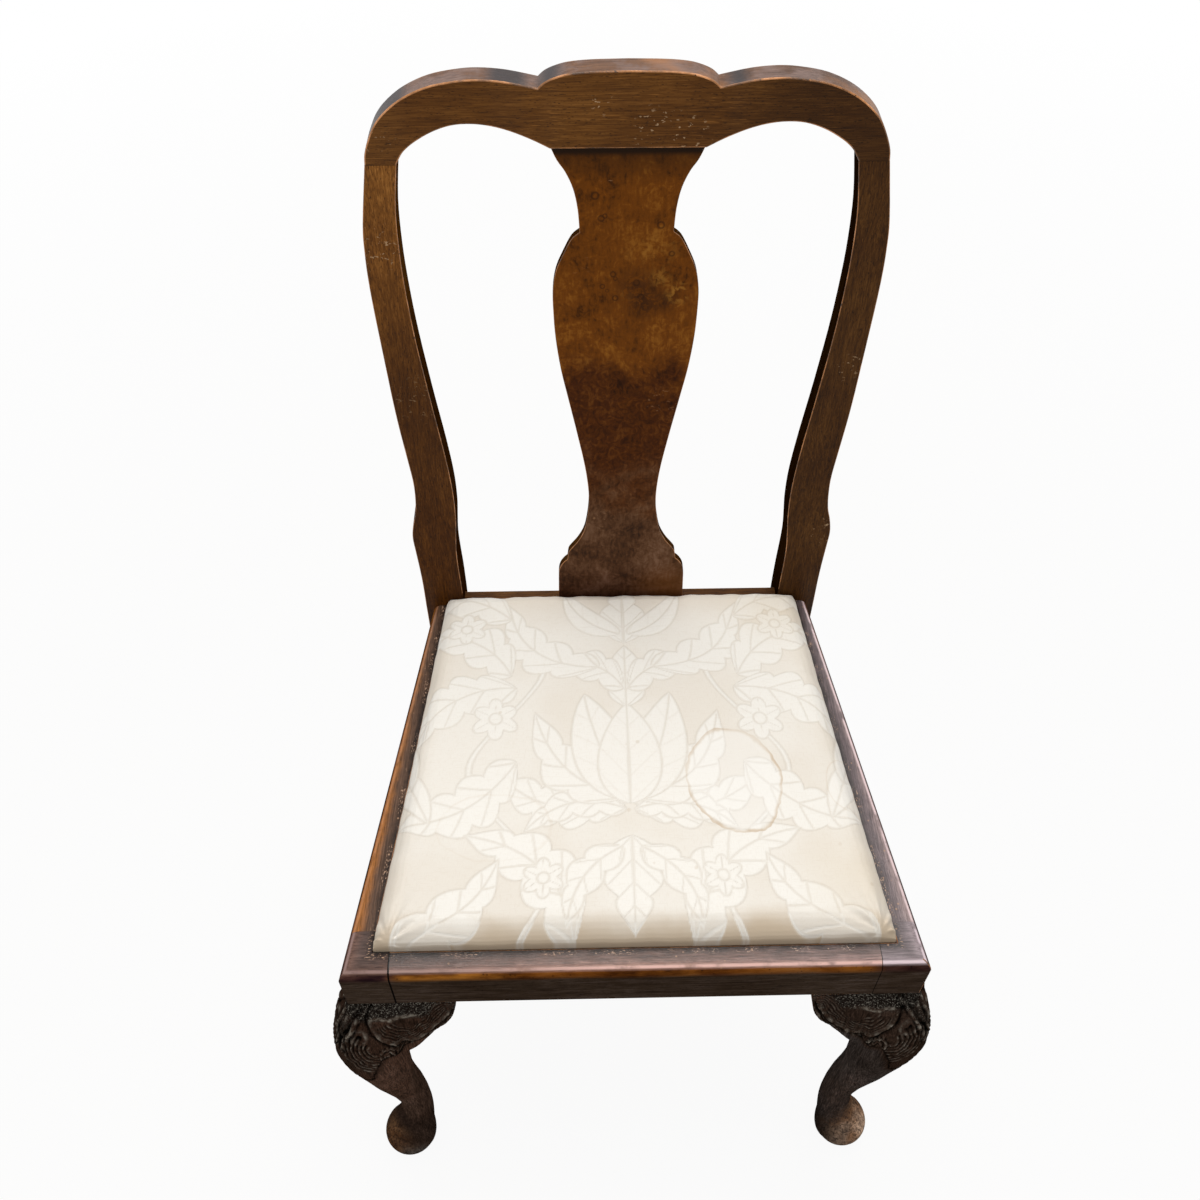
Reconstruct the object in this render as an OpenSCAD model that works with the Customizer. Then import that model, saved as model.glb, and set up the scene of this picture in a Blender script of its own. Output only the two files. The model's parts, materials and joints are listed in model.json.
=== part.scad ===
// Balloon back dining chair with cabriole front legs and a drop-in seat.
// X runs to the viewer's right, Y to the back and Z up, in millimetres.
// The origin is on the floor, under the middle of the whole chair.

/* [Seat frame] */
// Width across the seat rails at the front
seat_w_front = 500; // [460:1:540]
// Width across the side rails where they meet the rear posts
seat_w_back = 400; // [385:1:415]
// Depth from the front rail's face to the front of the rear posts
seat_d = 408; // [370:1:450]
// Height of the seat rails' top above the floor
seat_h = 452; // [425:1:480]
// Height of the seat rails
rail_h = 57; // [52:1:66]
// Thickness of the seat rails
rail_t = 32; // [30:0.5:36]
// Rounding of the rails' top outer edges
rail_round_r = 10; // [4:0.5:14]
// Depth of the rebate that the drop-in seat lies in
rebate_depth = 14; // [11:0.5:17]
// Bare top of the front rail, in front of the seat
land_front = 21; // [17:0.5:23]
// Bare top of a side rail at its front end
land_side_front = 24; // [20:0.5:25]
// Bare top of a side rail at its back end
land_side_back = 16; // [13:0.5:20]
// Width of the rear rail's ledge under the seat
rear_ledge = 12; // [9:0.5:16]
// Thickness of the rear rail behind the seat
rear_upstand = 19; // [17:0.5:24]

/* [Front legs] */
// Width of a front leg's square block, across the chair
leg_block_w = 42; // [38:1:48]
// Depth of a front leg's square block, front to back
leg_block_d = 40; // [37:1:46]
// Largest half width of the carved knee
knee_r = 36; // [33:0.5:38]
// How far the knee's centre stands out from the block, along the corner's diagonal
knee_out = 20; // [16:0.5:23]
// Length of a knee ear along the rail
ear_len = 52; // [42:1:62]
// Height of a knee ear where it meets the leg
ear_h = 84; // [74:1:92]
// How far a knee ear swells out beyond the rail, at the leg
ear_bulge = 13; // [8:0.5:16]

/* [Back] */
// Height of the crest rail's top above the floor
back_h = 995; // [960:1:1030]
// Greatest width across the rear posts
back_w = 433; // [420:1:446]
// Height of the crest rail's corners and centre, from its joint with the posts
crest_rise = 69; // [63:1:75]
// Thickness of the crest rail and of the posts' upper part
crest_t = 22; // [20:0.5:26]
// Thickness of the rear posts at the seat
post_t = 36; // [35:0.5:42]
// Lean of the back from upright
rake = 6; // [3:0.5:9]
// How far the rear feet stand behind the posts at the seat
rear_splay = 36; // [20:1:44]
// Thickness of a rear leg at the floor
rear_foot_t = 30; // [26:0.5:34]

/* [Splat] */
// Width of the splat at its foot
splat_w = 132; // [120:1:144]
// Thickness of the splat's core
splat_t = 7; // [6:0.5:8]
// Thickness of the burr veneer on the splat's face
veneer_t = 1; // [0.8:0.1:1.5]
// How far the veneer lies behind the crest rail's face
splat_set = 4; // [3:0.5:5]

/* [Drop-in seat] */
// Gap between the covered seat and the rebate's walls
seat_gap = 0.8; // [0.5:0.1:1.5]
// Thickness of the cover fabric
cover_t = 1.2; // [1:0.1:1.6]
// Width of the seat frame's bars
bar_w = 45; // [40:1:50]
// Thickness of the seat frame's bars
bar_t = 16; // [14:0.5:18]
// Height of the cushion's soft edge above the bars
edge_rise = 9; // [7:0.5:12]
// Crown of the cushion above its soft edge
crown_h = 20; // [12:0.5:26]
// Width of the webbing straps
strap_w = 50; // [44:1:54]
// Thickness of the webbing straps
strap_t = 1.2; // [1:0.1:1.5]

/* [Hidden] */

$fn = 48;

// Cuts run past the wood by this much
overrun = 5;
// Room for glue round a dowel, peg or tenon
glue_gap = 0.05;
// Steps along each span of a smoothed outline
outline_steps = 4;

// Sizes that follow from the driving ones
rail_bottom = seat_h - rail_h;
ledge_h = seat_h - rebate_depth;
side_in = (seat_w_front - seat_w_back) / 2;
side_angle = atan(side_in / seat_d);
function rail_edge_x(y) = seat_w_front / 2 - side_in * y / seat_d;
function rail_inner_x(y) = rail_edge_x(y) - rail_t;
leg_in_x = seat_w_front / 2 - leg_block_w;
rear_rail_front = seat_d - rear_ledge;
rear_rail_back = seat_d + rear_upstand;

// The well in the rails' tops that the drop-in seat lies in
well_front_x = rail_edge_x(land_front) - land_side_front;
well_back_x = rail_edge_x(seat_d) - land_side_back;
well_plan = [
    [-well_front_x, land_front], [well_front_x, land_front],
    [well_back_x, seat_d], [-well_back_x, seat_d]
];

// Lean of the back: upright at the seat, then a long bend, then straight
lean_start = seat_h + rail_h / 3;
lean_r = seat_d;
lean_end = lean_start + lean_r * sin(rake);
function lean_y(z) =
    z < lean_start ? 0
    : z < lean_end ? lean_r - sqrt(lean_r * lean_r - (z - lean_start) * (z - lean_start))
    : lean_r * (1 - cos(rake)) + (z - lean_end) * tan(rake);
function back_y(z) = seat_d + lean_y(z);
lean_bends = 8;
lean_heights = [for (i = [0:lean_bends]) lean_start + (lean_end - lean_start) * i / lean_bends];

// The crest rail sits on the posts at this height
joint_h = back_h - crest_rise;
post_rise = joint_h - seat_h;

// A smooth curve through points, with the ends kept
function curve_point(a, b, c, d, t) =
    0.5 * (2 * b + (c - a) * t + (2 * a - 5 * b + 4 * c - d) * t * t
    + (3 * b - a - 3 * c + d) * t * t * t);
function smooth(p, n = outline_steps) = [
    for (i = [0:len(p) - 2], k = [0:n - 1])
        curve_point(p[max(i - 1, 0)], p[i], p[i + 1], p[min(i + 2, len(p) - 1)], k / n),
    p[len(p) - 1]
];
function sized(shares, w, h, lift = 0) = [for (s = shares) [s[0] * w, lift + s[1] * h]];
function flipped(p) = [for (i = [len(p) - 1:-1:0]) p[i]];
function mirrored(p) = [for (i = [len(p) - 1:-1:0]) [-p[i][0], p[i][1]]];

// Edges of the right rear post above the seat:
// shares of half the back's width, and of the height from the seat to the crest rail
post_outer_shares = [
    [0.958, 0], [0.957, 0.06], [0.960, 0.11], [0.968, 0.165], [0.973, 0.205], [0.963, 0.238],
    [0.945, 0.27], [0.936, 0.31], [0.936, 0.355], [0.950, 0.42], [0.970, 0.52], [0.988, 0.66],
    [1, 0.78], [0.999, 0.85], [0.990, 0.90], [0.953, 1]
];
post_inner_shares = [
    [0.771, 0], [0.772, 0.06], [0.777, 0.13], [0.777, 0.17], [0.771, 0.21], [0.763, 0.26],
    [0.764, 0.33], [0.781, 0.42], [0.808, 0.52], [0.843, 0.66], [0.860, 0.76], [0.866, 0.84],
    [0.861, 0.92], [0.838, 1]
];
// Inset of a rear leg's outer and inner faces at the floor
rear_foot_tuck = post_t / 8;

// Edges of the crest rail's right half: shares of half the back's width and of its rise
crest_hump_shares = [
    [0.953, 0], [0.948, 0.12], [0.930, 0.27], [0.899, 0.45], [0.853, 0.60], [0.790, 0.735],
    [0.705, 0.845], [0.614, 0.90], [0.530, 0.918], [0.430, 0.893], [0.319, 0.823]
];
crest_centre_shares = [
    [0.319, 0.823], [0.296, 0.883], [0.262, 0.93], [0.212, 0.97], [0.13, 0.992], [0, 1]
];
crest_arch_shares = [
    [0.838, 0], [0.826, 0.065], [0.806, 0.15], [0.765, 0.25], [0.70, 0.36], [0.63, 0.43],
    [0.56, 0.445], [0.49, 0.42], [0.42, 0.36], [0.345, 0.265], [0.282, 0.167]
];
crest_flat_share = 0.167;

// Edges of the splat's right half: shares of half its width, and of its height
// from the seat rail to the crest rail
splat_neck_shares = [
    [0.924, 1], [0.85, 0.978], [0.75, 0.958], [0.66, 0.93], [0.608, 0.895], [0.588, 0.855]
];
splat_belly_shares = [
    [0.588, 0.855], [0.69, 0.843], [0.80, 0.815], [0.895, 0.785], [0.942, 0.75], [0.945, 0.71],
    [0.925, 0.655], [0.865, 0.59], [0.765, 0.52], [0.655, 0.445], [0.555, 0.37], [0.508, 0.315],
    [0.503, 0.275], [0.533, 0.235], [0.583, 0.203], [0.675, 0.177], [0.765, 0.160],
    [0.818, 0.149], [0.833, 0.138]
];
splat_foot_shares = [
    [0.842, 0.128], [0.90, 0.120], [0.955, 0.107], [0.982, 0.09], [0.992, 0.05], [1, 0]
];
splat_top = joint_h + crest_flat_share * crest_rise;
splat_h = splat_top - seat_h;
splat_tenon = 10;
splat_tenon_share = 0.85;
splat_foot_tenon_share = 0.92;

// Stations up the cabriole leg: height share of the leg, centre's share of the knee's
// reach, half width's share of the knee's, squareness of the outer corner, and how much
// of the section is drawn in to the block's inner faces
leg_shares = [
    [0.010, 0.83, 0.64, 2, 0], [0.020, 0.85, 0.715, 2, 0], [0.036, 0.855, 0.76, 2, 0],
    [0.055, 0.86, 0.788, 2, 0], [0.072, 0.80, 0.77, 2, 0], [0.092, 0.595, 0.665, 2, 0],
    [0.122, 0.29, 0.56, 2, 0], [0.16, 0.06, 0.485, 2, 0], [0.205, -0.04, 0.452, 2, 0],
    [0.28, 0.03, 0.472, 2, 0], [0.36, 0.22, 0.508, 2.05, 0], [0.43, 0.464, 0.543, 2.1, 0],
    [0.505, 0.70, 0.60, 2.1, 0], [0.58, 0.83, 0.678, 2.1, 0.05], [0.645, 0.85, 0.795, 2.15, 0.3],
    [0.71, 0.885, 0.915, 2.2, 0.65], [0.78, 0.945, 0.955, 2.25, 0.95],
    [0.845, 0.915, 0.895, 2.3, 1], [0.91, 0.73, 0.77, 2.4, 1], [0.96, 0.38, 0.60, 2.6, 1]
];
leg_sides = 28;
block_cx = seat_w_front / 2 - leg_block_w / 2;
block_cy = leg_block_d / 2;
foot_pad_h = rail_bottom * leg_shares[0][0];
foot_pad_share = 0.61;
foot_pad_r = knee_r * foot_pad_share;
foot_out = knee_out * leg_shares[0][1] / sqrt(2);
foot_cx = block_cx + foot_out;
foot_cy = block_cy - foot_out;

// How far the knee reaches in front of the front rail's face
knee_reach = max([for (s = leg_shares) knee_r * s[2] + knee_out * s[1] / sqrt(2)]) - block_cy;
back_reach = back_y(back_h) + crest_t;
rear_foot_back = seat_d + rear_splay + rear_foot_t;
plan_mid = (max(back_reach, rear_foot_back) - knee_reach) / 2;

// A knee ear, from the leg to its tip: shares of its length, its height and its bulge
ear_shares = [
    [0, 1, 1], [0.2, 0.89, 0.86], [0.39, 0.73, 0.70], [0.58, 0.60, 0.52], [0.77, 0.51, 0.32],
    [0.89, 0.37, 0.19], [0.96, 0.19, 0.10], [1, 0.04, 0.04]
];
// Its face from the rail down: shares of its bulge and of its height
ear_face_shares = [[0, 0], [0.16, 0.1], [0.5, 0.27], [0.8, 0.48], [0.97, 0.72], [1, 0.9], [0.8, 1]];
ear_back = rail_t * 0.75;

// Dowels
dowel_r = 4.5;
dowel_in_rail = 28;
dowel_in_leg = 18;
dowel_in_post = 22;
front_dowel_y = leg_block_d * 0.35;
side_dowel_front_x = rail_edge_x(leg_block_d) - rail_t / 2;
side_dowel_back_x = rail_edge_x(seat_d) - rail_t / 2;
rear_dowel_y = seat_d + rear_upstand * 0.6;
rear_dowel_in = 15;
low_row = rail_bottom + rail_h * 0.2;
high_row = rail_bottom + rail_h * 0.58;
rear_low_row = rail_bottom + rail_h * 0.39;
rear_high_row = rail_bottom + rail_h * 0.80;
crest_dowel_r = 4;
crest_dowel_len = 20;
crest_dowel_x = back_w / 2 * 0.895;
crest_dowel_y = back_y(joint_h) + crest_t / 2;

// Corner blocks under the rebate, glued and screwed into the corners of the seat frame
block_leg = 62;
block_h = 28;
block_drop = 2;
block_bottom = ledge_h - block_drop - block_h;
block_screw_z = block_bottom + block_h / 2;
screw_r = 2;
screw_head_r = 4;
screw_head_h = 2.5;
screw_in_rail = 20;
screw_in_block = 14;
screw_room = 0.05;
screw_place_share = 0.55;

// Drop-in seat, from its underside up
seat_lift_gap = 0.3;
fit_gap = 0.15;
cover_bottom = ledge_h + seat_lift_gap;
bar_bottom = cover_bottom + cover_t;
bar_top = bar_bottom + bar_t;
weave_top = bar_top + 2 * strap_t;
hessian_t = 0.8;
hessian_top = weave_top + hessian_t;
edge_top = bar_top + edge_rise;
hem_w = 15;
dust_t = 0.8;
peg_r = 4;

// Half widths and middle of the bars' outline, and its taper
function well_x(y) =
    well_front_x + (well_back_x - well_front_x) * (y - land_front) / (seat_d - land_front);
cover_front = land_front + seat_gap;
cover_back = seat_d - seat_gap;
bars_front = cover_front + cover_t + fit_gap;
bars_back = cover_back - cover_t - fit_gap;
bars_side_in = seat_gap + cover_t + fit_gap;
seat_mid_y = (cover_front + cover_back) / 2;
seat_half_d = (cover_back - cover_front) / 2;
seat_half_w = well_x(seat_mid_y) - seat_gap;
seat_taper = (well_back_x - well_front_x) / (seat_d - land_front) / seat_half_w;

// Rings round the seat: corner arcs joined by straight sides
ring_arc = 5;
ring_side = 3;
corner_r = 6.5;
function corner_at(q) = [[1, 1], [-1, 1], [-1, -1], [1, -1]][q];
function ring_corner(q, hx, hy, r) = [
    for (k = [0:ring_arc])
        let (a = 90 * (q + k / ring_arc))
        [corner_at(q)[0] * (hx - r) + r * cos(a), corner_at(q)[1] * (hy - r) + r * sin(a)]
];
function side_points(a, b) = [for (k = [1:ring_side]) a + (b - a) * k / (ring_side + 1)];
function flat_ring(hx, hy, r) = [
    for (q = [0:3])
        let (here = ring_corner(q, hx, hy, r), next = ring_corner((q + 1) % 4, hx, hy, r))
        each concat(here, side_points(here[ring_arc], next[0]))
];
// Inset from the cover's outline, then height, then rounding of the corners
function seat_ring(inset, z, r) =
    let (hx = seat_half_w - inset, hy = seat_half_d - inset)
    [for (p = flat_ring(hx, hy, min(r, 0.8 * min(hx, hy))))
        [p[0] * (1 + seat_taper * p[1]), seat_mid_y + p[1], z]];

// Crown of the cushion: share of the inset, share of the crown's height
crown_shares = [
    [0.02, 0.16], [0.07, 0.34], [0.15, 0.54], [0.27, 0.73], [0.42, 0.87], [0.62, 0.955], [0.84, 0.99]
];
function crown_rings(inset, top, rise) = [
    for (s = crown_shares)
        let (in = inset + s[0] * (seat_half_w - inset))
        seat_ring(in, top + s[1] * rise, corner_r + in)
];

module place() translate([0, -plan_mid, 0]) children();
module left_hand() mirror([1, 0, 0]) children();

// A solid through a list of rings with equal numbers of points, closed at both ends
function middle(ring, i = 0) = i == len(ring) ? [0, 0, 0]
    : ring[i] / len(ring) + middle(ring, i + 1);
module loft(rings) {
    n = len(rings[0]);
    last = len(rings) - 1;
    points = concat([for (r = rings) each r], [middle(rings[0]), middle(rings[last])]);
    sides = [
        for (k = [0:last - 1], i = [0:n - 1])
            let (a = k * n + i, b = k * n + (i + 1) % n)
            each [[a, b + n, b], [a, a + n, b + n]]
    ];
    first_cap = [for (i = [0:n - 1]) [len(points) - 2, i, (i + 1) % n]];
    last_cap = [for (i = [0:n - 1]) [len(points) - 1, last * n + (i + 1) % n, last * n + i]];
    polyhedron(points, concat(sides, first_cap, last_cap));
}

// The part between two planes across the chair
module between(y0, y1) {
    intersection() {
        children();
        translate([-seat_w_front, y0, -overrun]) cube([2 * seat_w_front, y1 - y0, 2 * back_h]);
    }
}

// A rail's section, its face on the left and its top outer edge rounded
module rail_section(t) {
    difference() {
        square([t, rail_h]);
        translate([-overrun, rail_h - rail_round_r])
            square([rail_round_r + overrun, rail_round_r + overrun]);
    }
    translate([rail_round_r, rail_h - rail_round_r]) circle(rail_round_r);
}

// Stock along the chair's front, and along its right side
module front_stock(t) {
    translate([seat_w_front / 2, 0, rail_bottom])
        rotate([90, 0, -90]) mirror([1, 0, 0]) linear_extrude(seat_w_front) rail_section(t);
}
module side_stock(t) {
    translate([seat_w_front / 2, 0, rail_bottom])
        rotate([0, 0, side_angle])
            translate([0, seat_d * 1.2, 0])
                rotate([90, 0, 0]) linear_extrude(seat_d * 1.4) mirror([1, 0]) rail_section(t);
}

module seat_well() {
    translate([0, 0, ledge_h]) linear_extrude(rebate_depth + overrun) polygon(well_plan);
}

// A round bar between two points that differ along one axis
module bar_x(x0, x1, y, z, r) translate([x0, y, z]) rotate([0, 90, 0]) cylinder(r = r, h = x1 - x0);
module bar_y(x, y0, y1, z, r) translate([x, y1, z]) rotate([90, 0, 0]) cylinder(r = r, h = y1 - y0);

// Dowels of the right side, each with room for glue where room is given
module front_dowels(room = 0) {
    for (z = [low_row, high_row])
        bar_x(leg_in_x - dowel_in_rail - room, leg_in_x + dowel_in_leg + room,
            front_dowel_y, z, dowel_r + room);
}
module side_dowels(room = 0) {
    for (z = [low_row, high_row]) {
        bar_y(side_dowel_front_x, leg_block_d - dowel_in_leg - room,
            leg_block_d + dowel_in_rail + room, z, dowel_r + room);
        bar_y(side_dowel_back_x, seat_d - dowel_in_rail - room,
            seat_d + dowel_in_post + room, z, dowel_r + room);
    }
}
module rear_dowels(room = 0) {
    for (z = [rear_low_row, rear_high_row])
        bar_x(rear_rail_x - dowel_in_rail - room, rear_rail_x + rear_dowel_in + room,
            rear_dowel_y, z, dowel_r + room);
}
module crest_dowel(room = 0) {
    translate([crest_dowel_x, crest_dowel_y, joint_h - crest_dowel_len - room])
        cylinder(r = crest_dowel_r + room, h = 2 * (crest_dowel_len + room));
}
module both() {
    children();
    left_hand() children();
}

// Screws of the right corner blocks: one into the rail across, one into the side rail
front_screw_x = leg_in_x - block_leg * screw_place_share;
front_side_screw_y = leg_block_d + block_leg * screw_place_share;
rear_screw_x = rail_inner_x(rear_rail_front) - block_leg * screw_place_share;
rear_side_screw_y = rear_rail_front - block_leg * screw_place_share;
module screw(room = 0, relief = 0) {
    translate([0, 0, -screw_in_rail - room])
        cylinder(r = screw_r + room, h = screw_in_rail + screw_in_block + room);
    translate([0, 0, screw_in_block - room])
        cylinder(r = screw_head_r + room, h = screw_head_h + room + relief);
}
module front_screws(room = 0, relief = 0) {
    translate([front_screw_x, rail_t, block_screw_z]) rotate([-90, 0, 0]) screw(room, relief);
    translate([rail_inner_x(front_side_screw_y), front_side_screw_y, block_screw_z])
        rotate([0, -90, side_angle]) screw(room, relief);
}
module rear_screws(room = 0, relief = 0) {
    translate([rear_screw_x, rear_rail_front, block_screw_z]) rotate([90, 0, 0])
        screw(room, relief);
    translate([rail_inner_x(rear_side_screw_y), rear_side_screw_y, block_screw_z])
        rotate([0, -90, side_angle]) screw(room, relief);
}

// Seat rails
module front_seat_rail() {
    color("#5a3a26") place() difference() {
        intersection() {
            front_stock(rail_t);
            translate([-leg_in_x, -overrun, 0]) cube([2 * leg_in_x, seat_d, seat_h]);
        }
        seat_well();
        both() front_dowels(glue_gap);
        both() front_screws(screw_room);
    }
}
module right_side_rail() {
    difference() {
        between(leg_block_d, seat_d) side_stock(rail_t * cos(side_angle));
        seat_well();
        side_dowels(glue_gap);
        front_screws(screw_room);
        rear_screws(screw_room);
    }
}
module right_seat_rail() color("#5a3a26") place() right_side_rail();
module left_seat_rail() color("#5a3a26") place() left_hand() right_side_rail();

rear_rail_x = back_w / 2 * post_inner_shares[0][0];
module splat_mortise() {
    half = splat_w / 2 * splat_foot_tenon_share + glue_gap;
    translate([-half, seat_d + splat_set + veneer_t - glue_gap, seat_h - splat_tenon - glue_gap])
        cube([2 * half, splat_t + 2 * glue_gap, splat_tenon + overrun]);
}
module rear_seat_rail() {
    color("#4a2f20") place() difference() {
        translate([-rear_rail_x, rear_rail_front, rail_bottom])
            cube([2 * rear_rail_x, rear_rail_back - rear_rail_front, rail_h]);
        seat_well();
        both() rear_dowels(glue_gap);
        both() rear_screws(screw_room);
        splat_mortise();
    }
}

// Front legs: a square block between the rails, over a cabriole leg and its pad foot
// The inner sides of a section run a little past the block's inner faces and are cut flat
inner_square = 1.2;
ear_overlap = 2;
function leg_ring(z, cx, cy, rx, ry, square, reach = 0) = [
    for (i = [0:leg_sides - 1])
        let (
            a = 360 * i / leg_sides, c = cos(a), s = sin(a),
            in_x = c < 0 ? rx + reach * (cx - leg_in_x + ear_overlap - rx) : rx,
            in_y = s > 0 ? ry + reach * (leg_block_d - cy + ear_overlap - ry) : ry,
            power = 2 / (c > 0 && s < 0 ? square : square + reach * inner_square)
        )
        [
            cx + in_x * sign(c) * pow(abs(c), power),
            cy + in_y * sign(s) * pow(abs(s), power),
            z
        ]
];
leg_rings = [
    for (s = leg_shares)
        let (out = knee_out * s[1] / sqrt(2))
        leg_ring(rail_bottom * s[0], block_cx + out, block_cy - out,
            knee_r * s[2], knee_r * s[2], s[3], s[4])
];
// The top ring lies just inside the block's underside
block_square = 8;
block_share = 0.97;
block_ring = leg_ring(rail_bottom, block_cx, block_cy,
    leg_block_w / 2 * block_share, leg_block_d / 2 * block_share, block_square);
module right_leg() {
    difference() {
        union() {
            intersection() {
                loft(concat(leg_rings, [block_ring]));
                translate([leg_in_x, leg_block_d - seat_w_front, 0])
                    cube([seat_w_front, seat_w_front, seat_h]);
            }
            translate([foot_cx, foot_cy, 0]) cylinder(r = foot_pad_r, h = foot_pad_h);
            intersection() {
                front_stock(seat_w_front);
                between(0, leg_block_d) side_stock(seat_w_front);
                translate([leg_in_x, 0, rail_bottom]) cube([leg_block_w, leg_block_d, rail_h]);
            }
        }
        seat_well();
        front_dowels(glue_gap);
        side_dowels(glue_gap);
    }
}
module right_front_leg() color("#3b2519") place() right_leg();
module left_front_leg() color("#3b2519") place() left_hand() right_leg();

// Knee ears, glued under the rails against the leg's flat sides
ear_stations = smooth(ear_shares, 2);
function ear_section(p, slant) =
    let (u = p[0] * ear_len)
    concat(
        [[u, -ear_back - slant * u, 0]],
        [for (f = ear_face_shares)
            [u, f[0] * p[2] * ear_bulge - slant * u, -f[1] * p[1] * ear_h]],
        [[u, -ear_back - slant * u, -p[1] * ear_h]]
    );
module ear(slant) {
    loft([for (p = ear_stations) ear_section(p, slant)]);
}
module right_front_ear() {
    translate([leg_in_x, 0, rail_bottom]) rotate([0, 0, 180]) ear(0);
}
module right_side_ear() {
    translate([rail_edge_x(leg_block_d), leg_block_d, rail_bottom])
        mirror([1, 0, 0]) rotate([0, 0, 90]) ear(tan(side_angle));
}
module right_leg_front_ear() color("#33231b") place() right_front_ear();
module right_leg_side_ear() color("#33231b") place() right_side_ear();
module left_leg_front_ear() color("#33231b") place() left_hand() right_front_ear();
module left_leg_side_ear() color("#33231b") place() left_hand() right_side_ear();

// Rear posts: one piece from the floor to the crest rail
post_outer = smooth(sized(post_outer_shares, back_w / 2, post_rise, seat_h));
post_inner = smooth(sized(post_inner_shares, back_w / 2, post_rise, seat_h));
post_front_view = concat(
    [[post_outer[0][0] - rear_foot_tuck, 0], [post_outer[0][0], rail_bottom]],
    post_outer,
    flipped(post_inner),
    [[post_inner[0][0], rail_bottom], [post_inner[0][0] + rear_foot_tuck, 0]]
);
// Front and back of the post seen from the side: shares of the splay and of the leg's height
splay_shares = [[1, 0], [0.6, 0.22], [0.3, 0.45], [0.1, 0.7], [0, 1]];
leg_front = smooth(sized(splay_shares, rear_splay, rail_bottom));
leg_back_swell = rear_foot_t - post_t;
leg_back = smooth([
    for (s = splay_shares)
        [s[0] * rear_splay + post_t + leg_back_swell * (1 - s[1]), s[1] * rail_bottom]
]);
// Back of the post above the seat: height share, and share of the thickness lost
thin_shares = [[0, 0], [0.12, 0.12], [0.25, 0.5], [0.4, 0.85], [0.55, 1]];
thin_back = [
    for (p = smooth([for (s = thin_shares) [s[1] * (crest_t - post_t), seat_h + s[0] * post_rise]]))
        [seat_d + lean_y(p[1]) + post_t + p[0], p[1]]
];
post_side_view = concat(
    [for (p = leg_front) [seat_d + p[0], p[1]]],
    [for (z = lean_heights) [back_y(z), z]],
    [[back_y(joint_h), joint_h], [back_y(joint_h) + crest_t, joint_h]],
    flipped(thin_back),
    flipped([for (p = leg_back) [seat_d + p[0], p[1]]])
);
// An outline seen from the front, and one seen from the right, as solids
module front_view(points) {
    translate([0, back_reach + seat_d, 0]) rotate([90, 0, 0])
        linear_extrude(back_reach + seat_d) polygon(points);
}
module side_view(points) {
    translate([-back_w, 0, 0]) rotate([90, 0, 90]) linear_extrude(2 * back_w) polygon(points);
}
module right_post() {
    difference() {
        intersection() {
            front_view(post_front_view);
            side_view(post_side_view);
        }
        side_dowels(glue_gap);
        rear_dowels(glue_gap);
        crest_dowel(glue_gap);
    }
}
module right_rear_post() color("#54341f") place() right_post();
module left_rear_post() color("#54341f") place() left_hand() right_post();

// Crest rail
crest_half = concat(
    smooth(sized(crest_hump_shares, back_w / 2, crest_rise, joint_h)),
    smooth(sized(crest_centre_shares, back_w / 2, crest_rise, joint_h))
);
crest_under = smooth(sized(crest_arch_shares, back_w / 2, crest_rise, joint_h));
crest_outline = concat(crest_half, mirrored(crest_half), [for (p = crest_under) [-p[0], p[1]]],
    flipped(crest_under));
crest_side = [
    [back_y(joint_h), joint_h], [back_y(joint_h) + crest_t, joint_h],
    [back_y(back_h) + crest_t, back_h], [back_y(back_h), back_h]
];
module splat_slot() {
    half = splat_w / 2 * splat_tenon_share + glue_gap;
    front = splat_set + veneer_t - glue_gap;
    back = front + splat_t + 2 * glue_gap;
    intersection() {
        translate([-half, 0, splat_top - overrun])
            cube([2 * half, back_reach, splat_tenon + glue_gap + overrun]);
        side_view([
            [back_y(joint_h) + front, joint_h], [back_y(joint_h) + back, joint_h],
            [back_y(back_h) + back, back_h], [back_y(back_h) + front, back_h]
        ]);
    }
}
module crest_rail() {
    color("#5b3921") place() difference() {
        intersection() {
            front_view(crest_outline);
            side_view(crest_side);
        }
        both() crest_dowel(glue_gap);
        splat_slot();
    }
}

// Splat: a core with a tenon at each end, and a veneer on its face
splat_half = concat(
    smooth(sized(flipped(splat_foot_shares), splat_w / 2, splat_h, seat_h)),
    smooth(sized(flipped(splat_belly_shares), splat_w / 2, splat_h, seat_h)),
    smooth(sized(flipped(splat_neck_shares), splat_w / 2, splat_h, seat_h))
);
function leaf_side(front, back, z0, z1) =
    let (heights = concat([z0], lean_heights, [z1]))
    concat([for (z = heights) [back_y(z) + front, z]],
        flipped([for (z = heights) [back_y(z) + back, z]]));
splat_outline = concat(splat_half, mirrored(splat_half));
module splat_leaf(front, t, outline, z0, z1) {
    intersection() {
        front_view(outline);
        side_view(leaf_side(front, front + t, z0, z1));
    }
}
splat_core_outline = concat(
    [
        [-splat_w / 2 * splat_foot_tenon_share, seat_h],
        [-splat_w / 2 * splat_foot_tenon_share, seat_h - splat_tenon],
        [splat_w / 2 * splat_foot_tenon_share, seat_h - splat_tenon],
        [splat_w / 2 * splat_foot_tenon_share, seat_h]
    ],
    splat_half,
    [
        [splat_w / 2 * splat_tenon_share, splat_top],
        [splat_w / 2 * splat_tenon_share, splat_top + splat_tenon],
        [-splat_w / 2 * splat_tenon_share, splat_top + splat_tenon],
        [-splat_w / 2 * splat_tenon_share, splat_top]
    ],
    mirrored(splat_half)
);
module back_splat() {
    color("#6a4226") place()
        splat_leaf(splat_set + veneer_t, splat_t, splat_core_outline,
            seat_h - splat_tenon, splat_top + splat_tenon);
}
module splat_veneer() {
    color("#7a4a22") place() splat_leaf(splat_set, veneer_t, splat_outline, seat_h, splat_top);
}

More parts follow.
